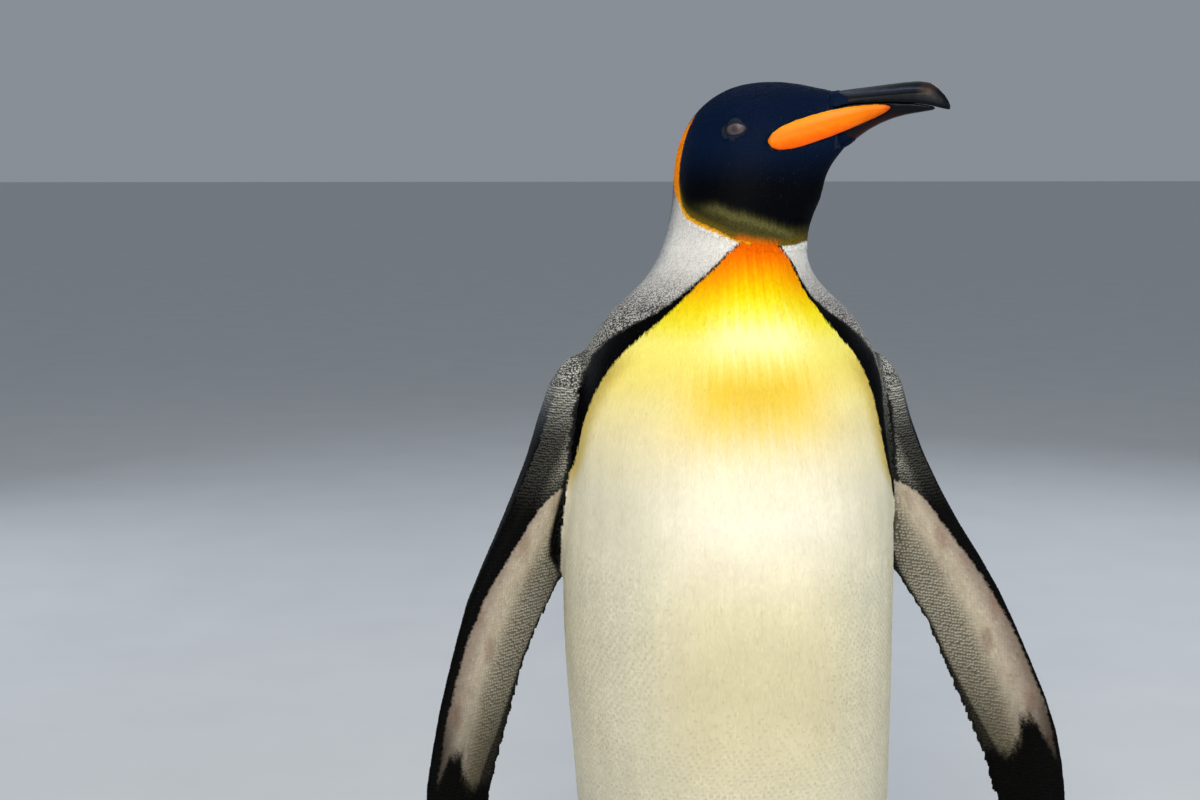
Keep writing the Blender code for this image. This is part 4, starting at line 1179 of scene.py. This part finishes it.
def plantCoat(surface, pale, dark):
    tree, points, plan = surface["tree"], surface["points"], coatPlan
    roots = bodyRoots(surface)
    print("roots planted:", len(roots["root"]))
    height, kind = roots["root"][:, 2], roots["kind"]
    upper = (kind == "head") | (kind == "neck")
    hooded = upper & ((aboveHood(roots["root"]) > -0.001) | (kind == "head"))
    body = (kind == "trunk") | (kind == "flipper")
    front = body & (np.abs(bodyAngle(roots["root"])) < plan["frontHalf"])
    behind = body & ~front
    high = height > plan["ventTop"]
    breast, back = height > plan["breastFoot"], height > plan["backFoot"]
    pieces = (
        ("head", "black", hooded, headPatch),
        ("neck", "grey", upper & ~hooded, aroundPatch(180, 0.64, 0.78)),
        ("breast", "white", front & breast, aroundPatch(93, 0.46, 0.67)),
        ("belly", "white", front & ~breast & high, aroundPatch(93, 0.23, 0.48)),
        ("vent", "white", body & ~high, aroundPatch(180, 0.05, 0.25)),
        ("back", "grey", behind & back, aroundPatch(93, 0.41, 0.67, 180.0)),
        ("loin", "grey", behind & ~back & high, aroundPatch(93, 0.23, 0.43, 180.0)),
        ("legs", "white", kind == "leg", lowerPatch),
    )
    for name, tint, mask, patch in pieces:
        material = dark if tint == "black" else pale
        vanes("plumage_" + name, select(roots, mask), tree, patch, material, plan[name])
    vanes("plumage_tufts", bellyTufts(surface), tree, aroundPatch(93, 0.13, 0.48), pale,
          plan["tufts"])
    for word in words:
        patch = flipperPatch(word)
        vanes("plumage_flipper_" + word, flipperRows(word, surface), tree, patch, dark,
              plan["flipper"])
        vanes("flipper_comb_" + word, flipperComb(word, surface), tree, patch, dark,
              plan["comb"])
    # the feathers at the base of the bill lie on the bill as well as on the skin
    solids = [meshArrays(nodes[source].data)[:2] for source in ("bill_upper", "bill_lower")]
    under = searchTree(*joinedArrays([(points, surface["triangles"])] + solids))
    vanes("plumage_lores", billBase(surface), under, headPatch, dark, plan["lores"])
    tailRoots = joinRoots([select(roots, kind == "tail"), tailQuills(surface)])
    vanes("plumage_tail", tailRoots, tree, lowerPatch, dark, plan["tail"])
    keep = (surface["kind"] == "foot") & (points[:, 2] > 0.0035) & (surface["normals"][:, 2] > -0.1)
    scuteRoots = scattered(surface, np.tile(np.array(vanePlan["scute"]), (len(points), 1)), keep)
    vanes("foot_scutes", scuteRoots, tree, lowerPatch, dark, plan["scutes"])


def addNode(tree, kind, inputs=None, **settings):
    # a node with its settings; an input given a socket is linked, any other value is set
    node = tree.nodes.new(kind)
    for key, value in settings.items():
        setattr(node, key, value)
    for key, value in (inputs or {}).items():
        if isinstance(value, bpy.types.NodeSocket):
            tree.links.new(value, node.inputs[key])
        else:
            node.inputs[key].default_value = value
    return node


def newMaterial(name):
    material = bpy.data.materials.new(name)
    material.use_nodes = True
    tree = material.node_tree
    return material, tree, addNode(tree, "ShaderNodeTexCoord").outputs["Object"]


def perMm(size):
    # texture scale whose pattern repeats about every so many millimetres
    return 1000 / size


def pointColour(tree, layer):
    return addNode(tree, "ShaderNodeVertexColor", layer_name=layer).outputs["Color"]


def noise(tree, coords, size, detail, **inputs):
    inputs = {"Vector": coords, "Scale": perMm(size), "Detail": detail, **inputs}
    return addNode(tree, "ShaderNodeTexNoise", inputs).outputs["Fac"]


def ranged(tree, value, to, start=0.3, end=0.7):
    # a value from start to end turned into one between the two given
    inputs = {"Value": value, "From Min": start, "From Max": end, "To Min": to[0], "To Max": to[1]}
    return addNode(tree, "ShaderNodeMapRange", inputs).outputs["Result"]


def combined(tree, operation, first, second):
    return addNode(tree, "ShaderNodeMath", {0: first, 1: second}, operation=operation).outputs[0]


def shaded(tree, tone, amount):
    inputs = {0: tone, "Scale": amount}
    return addNode(tree, "ShaderNodeVectorMath", inputs, operation="SCALE").outputs["Vector"]


def twoTones(tree, value, codes):
    # a colour ramp between two hex codes
    node = addNode(tree, "ShaderNodeValToRGB", {"Fac": value})
    for stop, code in zip(node.color_ramp.elements, codes):
        stop.color = (*linear(code), 1)
    return node.outputs["Color"]


def finish(material, colour, plan, roughness=None, height=None):
    # wires colour, roughness and relief to the shader, and sets the plan's fixed values
    tree = material.node_tree
    shader = tree.nodes["Principled BSDF"]
    tree.links.new(colour, shader.inputs["Base Color"])
    if roughness is not None:
        tree.links.new(roughness, shader.inputs["Roughness"])
    if height is not None:
        strength, distance = plan["relief"]
        inputs = {"Strength": strength, "Distance": distance, "Height": height}
        relief = addNode(tree, "ShaderNodeBump", inputs).outputs["Normal"]
        tree.links.new(relief, shader.inputs["Normal"])
    for key, value in plan["fixed"].items():
        shader.inputs[key].default_value = value
    return material


# grain sizes in millimetres, ranges of brightness and roughness, and relief as strength and metres
finishes = dict(
    feather=dict(barb=0.9, barbTone=(0.96, 1.03), patch=45, patchTone=(0.95, 1.04), rough=(0.46, 0.66),
                 relief=(0.07, 0.0002), gloss={"pale": 0.015, "dark": 0.018},
                 fixed={"Sheen Weight": 0.0, "Sheen Roughness": 0.35, "IOR": 1.54}),
    skin=dict(crack=1.6, crackWidth=0.16, grain=0.7, tone=(0.72, 1.08), relief=(0.35, 0.0003),
              fixed={"Roughness": 0.60, "Specular IOR Level": 0.2}),
    bill=dict(line=1.4, turn=28.5, tone=(0.75, 1.5), scuff=6, rough=(0.28, 0.44), relief=(0.25, 0.0002),
              fixed={"IOR": 1.55, "Specular IOR Level": 0.11, "Coat Weight": 0.02, "Coat Roughness": 0.22}),
    plate=dict(cloud=5, tone=(0.92, 1.06), rough=(0.30, 0.42), relief=(0.08, 0.0002),
               fixed={"IOR": 1.55, "Specular IOR Level": 0.12}),
    eye=dict(fibre=0.8, tone=(0.88, 1.12),
             fixed={"Roughness": 0.45, "IOR": 1.38, "Coat Weight": 0.06, "Coat Roughness": 0.20}),
    claw=dict(grain=1.5, colours=("0E0D0C", "2C2824"), relief=(0.2, 0.0002),
              fixed={"Roughness": 0.34, "IOR": 1.55}),
    floor=dict(speck=1000 / 6, colours=("C9CBCC", "D3D5D6"), fixed={"Roughness": 0.7}),
)


def featherKeratin(word):
    # contour feathers: soft barbs that scatter light, silky where pale and closer and glossier where black
    material, tree, coords = newMaterial(word + "_feathers")
    plan, tone = finishes["feather"], pointColour(tree, "plumage")
    stretched = addNode(tree, "ShaderNodeMapping", {"Vector": coords, "Scale": (1.0, 1.0, 0.09)})
    # barbs are 0.1 mm apart, drawn coarser so that they show
    barbs = noise(tree, stretched.outputs["Vector"], plan["barb"], 3.0, Roughness=0.6)
    patches = noise(tree, coords, plan["patch"], 2.0)
    amount = combined(tree, "MULTIPLY", ranged(tree, barbs, plan["barbTone"]),
                      ranged(tree, patches, plan["patchTone"]))
    brightness = addNode(tree, "ShaderNodeRGBToBW", {"Color": tone}).outputs["Val"]
    rough = ranged(tree, brightness, plan["rough"], 0.0, 0.25)
    finish(material, shaded(tree, tone, amount), plan, rough, barbs)
    tree.nodes["Principled BSDF"].inputs["Specular IOR Level"].default_value = plan["gloss"][word]
    return material


def bareSkin():
    # skin under the plumage, coloured as it is; leathery and finely cracked where it shows on lids and feet
    material, tree, coords = newMaterial("penguin_skin")
    plan, tone = finishes["skin"], pointColour(tree, "plumage")
    inputs = {"Vector": coords, "Scale": perMm(plan["crack"])}
    cells = addNode(tree, "ShaderNodeTexVoronoi", inputs, feature="DISTANCE_TO_EDGE").outputs["Distance"]
    cracks = ranged(tree, cells, (0.0, 1.0), 0.0, plan["crackWidth"])
    height = combined(tree, "ADD", cracks, noise(tree, coords, plan["grain"], 4.0))
    level = ranged(tree, cracks, plan["tone"], 0.0, 1.0)
    return finish(material, shaded(tree, tone, level), plan, None, height)


def hornBlack():
    # bill sheath: dense black keratin, polished by use, with faint lengthwise growth lines and paler scuffs
    material, tree, coords = newMaterial("bill_keratin")
    plan, tone = finishes["bill"], pointColour(tree, "horn")
    inputs = {"Vector": coords, "Rotation": (0, 0, math.radians(plan["turn"])), "Scale": (0.10, 1.0, 1.0)}
    turned = addNode(tree, "ShaderNodeMapping", inputs).outputs["Vector"]
    lines = noise(tree, turned, plan["line"], 4.0, Roughness=0.6)
    rough = ranged(tree, noise(tree, coords, plan["scuff"], 3.0), plan["rough"])
    level = ranged(tree, lines, plan["tone"], 0.3, 0.75)
    return finish(material, shaded(tree, tone, level), plan, rough, lines)


def hornOrange():
    # bill plate: thin translucent orange keratin, waxy and smooth
    material, tree, coords = newMaterial("plate_keratin")
    plan, tone = finishes["plate"], pointColour(tree, "horn")
    cloud = noise(tree, coords, plan["cloud"], 3.0)
    level = ranged(tree, cloud, plan["tone"])
    return finish(material, shaded(tree, tone, level), plan, ranged(tree, cloud, plan["rough"]), cloud)


def wetEye():
    # cornea over a brown iris: clear, wet and smooth
    material, tree, coords = newMaterial("cornea_and_iris")
    plan, tone = finishes["eye"], pointColour(tree, "horn")
    level = ranged(tree, noise(tree, coords, plan["fibre"], 2.0), plan["tone"])
    return finish(material, shaded(tree, tone, level), plan)


def clawHorn():
    # claws: black horn with a fine worn grain
    material, tree, coords = newMaterial("claw_keratin")
    plan = finishes["claw"]
    grain = noise(tree, coords, plan["grain"], 4.0)
    return finish(material, twoTones(tree, grain, plan["colours"]), plan, None, grain)


def floorPaint():
    # matt pale studio floor
    material, tree, coords = newMaterial("studio_floor")
    plan = finishes["floor"]
    return finish(material, twoTones(tree, noise(tree, coords, plan["speck"], 3.0), plan["colours"]), plan)


lidPlan = dict(
    around=72, section=16, inner=-0.0003,
    least=0.0022, most=0.0046, step=0.0002,  # widths that the collar may have
    cover=0.0004, crest=0.0003, thick=0.00025, sunk=0.0005, ballEdge=0.0122,
)


def ballLevel(reach):
    return math.sqrt(eyeShape["radius"] ** 2 - min(reach, lidPlan["ballEdge"]) ** 2)


def addLids(bm, tree):
    # a collar of bare skin round each eye: its lip lies on the eyeball and its outer edge under the plumage
    plan = lidPlan
    for word in words:
        outward, forward, upward = eyeAxes(word)
        eye = np.array(eyeMiddles[word])
        ring = bmesh.new()
        circle = bmesh.ops.create_circle(ring, segments=plan["section"], radius=1.0)["verts"]
        for vert in circle:
            vert.co = Vector((10 + vert.co.x, 0, vert.co.y))
        bmesh.ops.spin(ring, geom=ring.verts[:] + ring.edges[:], cent=(0, 0, 0), axis=(0, 0, 1),
                       dvec=(0, 0, 0), angle=2 * math.pi, steps=plan["around"], use_merge=True,
                       use_duplicate=False)
        bmesh.ops.remove_doubles(ring, verts=ring.verts, dist=1e-4)
        for vert in ring.verts:
            turn = math.atan2(vert.co.y, vert.co.x)
            part = min(1.0, max(0.0, (math.hypot(vert.co.x, vert.co.y) - 9) / 2))
            across = abs(math.cos(turn)) / eyeShape["halfLong"]
            edge = 1 / almond(across, abs(math.sin(turn)) / eyeShape["halfHigh"])
            way = forward * math.cos(turn) + upward * math.sin(turn)
            # the collar reaches out to where the eyeball has sunk under the skin
            for width in np.arange(plan["least"], plan["most"], plan["step"]):
                start = Vector(eye + way * (edge + width) + outward * 0.04)
                hit = tree.ray_cast(start, Vector(-outward), 0.06)[0]
                skinLevel = (np.array(hit) - eye) @ outward
                if skinLevel > ballLevel(edge + width) + 0.0008:
                    break
            reach = edge + plan["inner"] + (width - plan["inner"]) * part
            lip = ballLevel(edge + plan["inner"]) + 0.0001
            crest = plan["crest"] * math.sin(math.pi * part ** 0.55)
            level = lip + (skinLevel - plan["sunk"] - lip) * part ** 0.8 + crest
            level = max(level, ballLevel(reach) + plan["cover"] * min(1.0, part * 6))
            vert.co = Vector(eye + way * reach + outward * (level + plan["thick"] * vert.co.z))
        bmesh.ops.recalc_face_normals(ring, faces=ring.faces)
        addTo(bm, ring)


def makeSkin(surface, material):
    mesh = surface["mesh"]
    mesh.vertices.foreach_set("co", surface["points"].astype(np.float32).ravel())
    item = linkObject("skin_whole", mesh)
    modifier = item.modifiers.new("thin", "DECIMATE")
    modifier.ratio = skinPlan["triangles"] / len(surface["triangles"])
    bm = bmesh.new()
    bm.from_mesh(evaluatedMesh(item))
    addLids(bm, surface["tree"])
    mesh = meshFrom(bm, "skin")
    points, triangles, _ = meshArrays(mesh)
    index = np.array([surface["finder"].find(point)[1] for point in points.tolist()])
    normals = vertexNormals(points, triangles)
    colours = tones(points, normals, surface["kind"][index], surface["owner"][index])[0]
    colours = blendTo(colours, skinPlan["lidColour"], 0.9 * smoothStep(1.42, 1.10, eyeReach(points)))
    paintPoints(mesh, "plumage", colours)
    mesh.shade_smooth()
    skin = linkObject("skin", mesh, material)
    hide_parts(*flesh)
    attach(skin, "root")
    print("skin -", len(triangles), "triangles")


def fineCopy(source, plan, weigh=None):
    # a finer copy of one solid, smoothed by the given weights
    mesh = remeshed(source + "_fine", [source], plan["voxel"], plan["grow"])
    points, triangles, edges = meshArrays(mesh)
    weight = np.full(len(points), 0.6) if weigh is None else weigh(points)
    return mesh, relaxed(points, edges, plan["rounds"], weight), triangles


def finishPiece(mesh, points, name, source, material, colours=None):
    mesh.vertices.foreach_set("co", points.astype(np.float32).ravel())
    if colours is not None:
        paintPoints(mesh, "horn", colours)
    mesh.shade_smooth()
    item = linkObject(name, mesh, material)
    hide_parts(source)
    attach(item, "root")
    print(name, "-", len(mesh.loop_triangles), "triangles")


billPlan = dict(
    voxel=0.00062, rounds=24, grow=0.00026,
    # reach and height of the long groove
    groove=((0.094, 0.8352), (0.110, 0.8362), (0.128, 0.8374), (0.146, 0.8388), (0.158, 0.8392)),
    grooveDepth=0.0007, grooveHalf=0.0012, ridgeAbove=0.0022, ridgeHalf=0.0012, ridgeRise=0.00025,
    tipPatchAt=(0.164, 0.841),  # reach and height of the brownish patch near the tip
    black="03070F", ridgeHighlight="343F50", tip="3A251E", under="3A120C",
)


def makeBill(material):
    plan = billPlan

    def weigh(points):
        return 0.6 * smoothStep(0.1815, 0.168, reachAhead(points)) + 0.03

    for source in ("bill_upper", "bill_lower"):
        mesh, points, triangles = fineCopy(source, plan, weigh)
        normals, reach, height = vertexNormals(points, triangles), reachAhead(points), points[:, 2]
        colours = plain(plan["black"], points)
        if source == "bill_upper":
            above = height - stepped(plan["groove"], reach)
            onLine = smoothStep(0.092, 0.100, reach) * smoothStep(0.166, 0.150, reach)
            onLine = onLine * (np.abs((points - axisArray) @ leftArray) > 0.0015)
            cut = np.exp(-(above / plan["grooveHalf"]) ** 2) * onLine
            ridge = np.exp(-((above - plan["ridgeAbove"]) / plan["ridgeHalf"]) ** 2) * onLine
            points = points + normals * (plan["ridgeRise"] * ridge - plan["grooveDepth"] * cut)[:, None]
            # the ridge above the groove is painted grey-blue, a painted highlight where it faces the light
            colours = blendTo(colours, plan["ridgeHighlight"], 0.75 * ridge)
            far = np.hypot(reach - plan["tipPatchAt"][0], (height - plan["tipPatchAt"][1]) * 1.6)
            colours = blendTo(colours, plan["tip"], 0.6 * smoothStep(0.010, 0.003, far))
        else:
            under = smoothStep(-0.35, -0.75, normals[:, 2]) * smoothStep(0.152, 0.125, reach)
            colours = blendTo(colours, plan["under"], 0.5 * under)
        finishPiece(mesh, points, source + "_sheath", source, material, colours)


platePlan = dict(
    voxel=0.00060, rounds=10, grow=0.00022,
    line=((0.045, 0.8004), (0.064, 0.8056), (0.089, 0.8141), (0.113, 0.8212), (0.1355, 0.8264)),  # its middle
    half=0.010, middle="FF8200", upper="FF9A10", lower="FA6400", front="C03C00",
)


def makePlates(material):
    plan = platePlan
    for word in words:
        source = "bill_plate_" + word
        mesh, points, _ = fineCopy(source, plan)
        reach = reachAhead(points)
        above = (points[:, 2] - stepped(plan["line"], reach)) / plan["half"]
        colours = blendTo(plain(plan["middle"], points), plan["upper"], smoothStep(0.1, 0.9, above))
        colours = blendTo(colours, plan["lower"], smoothStep(-0.1, -0.9, above))
        below = 0.7 * smoothStep(0.105, 0.134, reach) * smoothStep(0.4, -0.5, above)
        colours = blendTo(colours, plan["front"], below)
        colours = blendTo(colours, plan["front"], 0.9 * smoothStep(0.128, 0.136, reach))
        finishPiece(mesh, points, source + "_sheath", source, material, colours)


eyePlan = dict(
    outside="16161A",
    # where each ring begins and is full, and its colour: rim, iris, inner iris, pupil
    rings=((0.0110, 0.0095, "343A46"), (0.0088, 0.0054, "564B51"), (0.0048, 0.0032, "4E4449"),
           (0.0029, 0.0023, "3A3336")),
)


def makeEyes(material):
    for word in words:
        outward = eyeAxes(word)[0]
        bm = bmesh.new()
        bmesh.ops.create_uvsphere(bm, u_segments=56, v_segments=40, radius=eyeShape["radius"])
        turn = Vector((0, 0, 1)).rotation_difference(Vector(outward)).to_matrix()
        bmesh.ops.rotate(bm, verts=bm.verts, cent=(0, 0, 0), matrix=turn)
        bmesh.ops.translate(bm, verts=bm.verts, vec=eyeMiddles[word])
        name = "eye_" + word + "_ball"
        mesh = meshFrom(bm, name)
        points = meshArrays(mesh)[0]
        rel = points - np.array(eyeMiddles[word])
        away = np.linalg.norm(rel - np.outer(rel @ outward, outward), axis=1)
        away = np.where(rel @ outward > 0, away, 0.02)
        colours = plain(eyePlan["outside"], points)
        for start, full, code in eyePlan["rings"]:
            colours = blendTo(colours, code, smoothStep(start, full, away))
        finishPiece(mesh, points, name, "eye_" + word, material, colours)


clawPlan = dict(voxel=0.0005, rounds=5, grow=0.00015)


def makeClaws(material):
    for word in words:
        for toe in ("inner", "middle", "outer", "hind"):
            source = f"claw_{toe}_{word}"
            mesh, points, _ = fineCopy(source, clawPlan)
            points[:, 2] = np.maximum(points[:, 2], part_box(source)[0][2])
            finishPiece(mesh, points, source + "_horn", source, material)


studio = dict(
    distance=1.4066, aside=8.5, height=0.7852, turn=4.019, pitch=8.193, lens=50.0, sensor=36.0, floor=60.0,
    target=(0, 0, 0.45),  # where the lamps point
    # name, place, size across, watts, colour
    lights=(("key", (-0.6, -2.3, 1.9), 1.5, 51, "FFF8EE"), ("fill", (2.1, -1.7, 1.2), 1.8, 17, "F6F6F4"),
            ("top", (0.2, 0.5, 2.6), 2.2, 14, "FFFFFF"), ("rim", (1.4, 2.2, 1.7), 1.4, 16, "EAF2FF"),
            ("rim_low", (-1.9, 1.9, 1.2), 1.4, 12, "EAF2FF")),
    world="C9D3DE", worldStrength=0.42,
)


def makeStudio():
    bm = bmesh.new()
    bmesh.ops.create_grid(bm, x_segments=8, y_segments=8, size=studio["floor"])
    linkObject("studio_floor", meshFrom(bm, "studio_floor"), floorPaint())
    for name, place, size, watts, tint in studio["lights"]:
        lamp = bpy.data.lights.new("light_" + name, "AREA")
        lamp.shape, lamp.size, lamp.energy = "DISK", size, watts
        lamp.color = tuple(linear(tint))
        item = linkObject("light_" + name, lamp)
        item.location = place
        item.rotation_euler = (Vector(studio["target"]) - Vector(place)).to_track_quat("-Z", "Y").to_euler()
    world = bpy.data.worlds.new("studio_air")
    world.use_nodes = True
    back = world.node_tree.nodes["Background"]
    back.inputs["Color"].default_value = (*linear(studio["world"]), 1)
    back.inputs["Strength"].default_value = studio["worldStrength"]
    scene = bpy.context.scene
    scene.world = world
    scene.view_settings.view_transform = "Standard"
    camera = bpy.data.cameras.new("camera")
    camera.lens, camera.sensor_width = studio["lens"], studio["sensor"]
    camera.clip_start, camera.clip_end = 0.05, 200
    item = linkObject("camera", camera)
    aside, away = math.radians(studio["aside"]), studio["distance"]
    item.location = axisPoint + Vector((-math.sin(aside) * away, -math.cos(aside) * away, studio["height"]))
    item.rotation_euler = (math.radians(90 - studio["pitch"]), 0, -math.radians(studio["turn"]))
    scene.camera = item


makeStudio()
print("studio set")
surface = makeSkinSurface()
plantCoat(surface, featherKeratin("pale"), featherKeratin("dark"))
makeSkin(surface, bareSkin())
makeBill(hornBlack())
makePlates(hornOrange())
makeEyes(wetEye())
makeClaws(clawHorn())
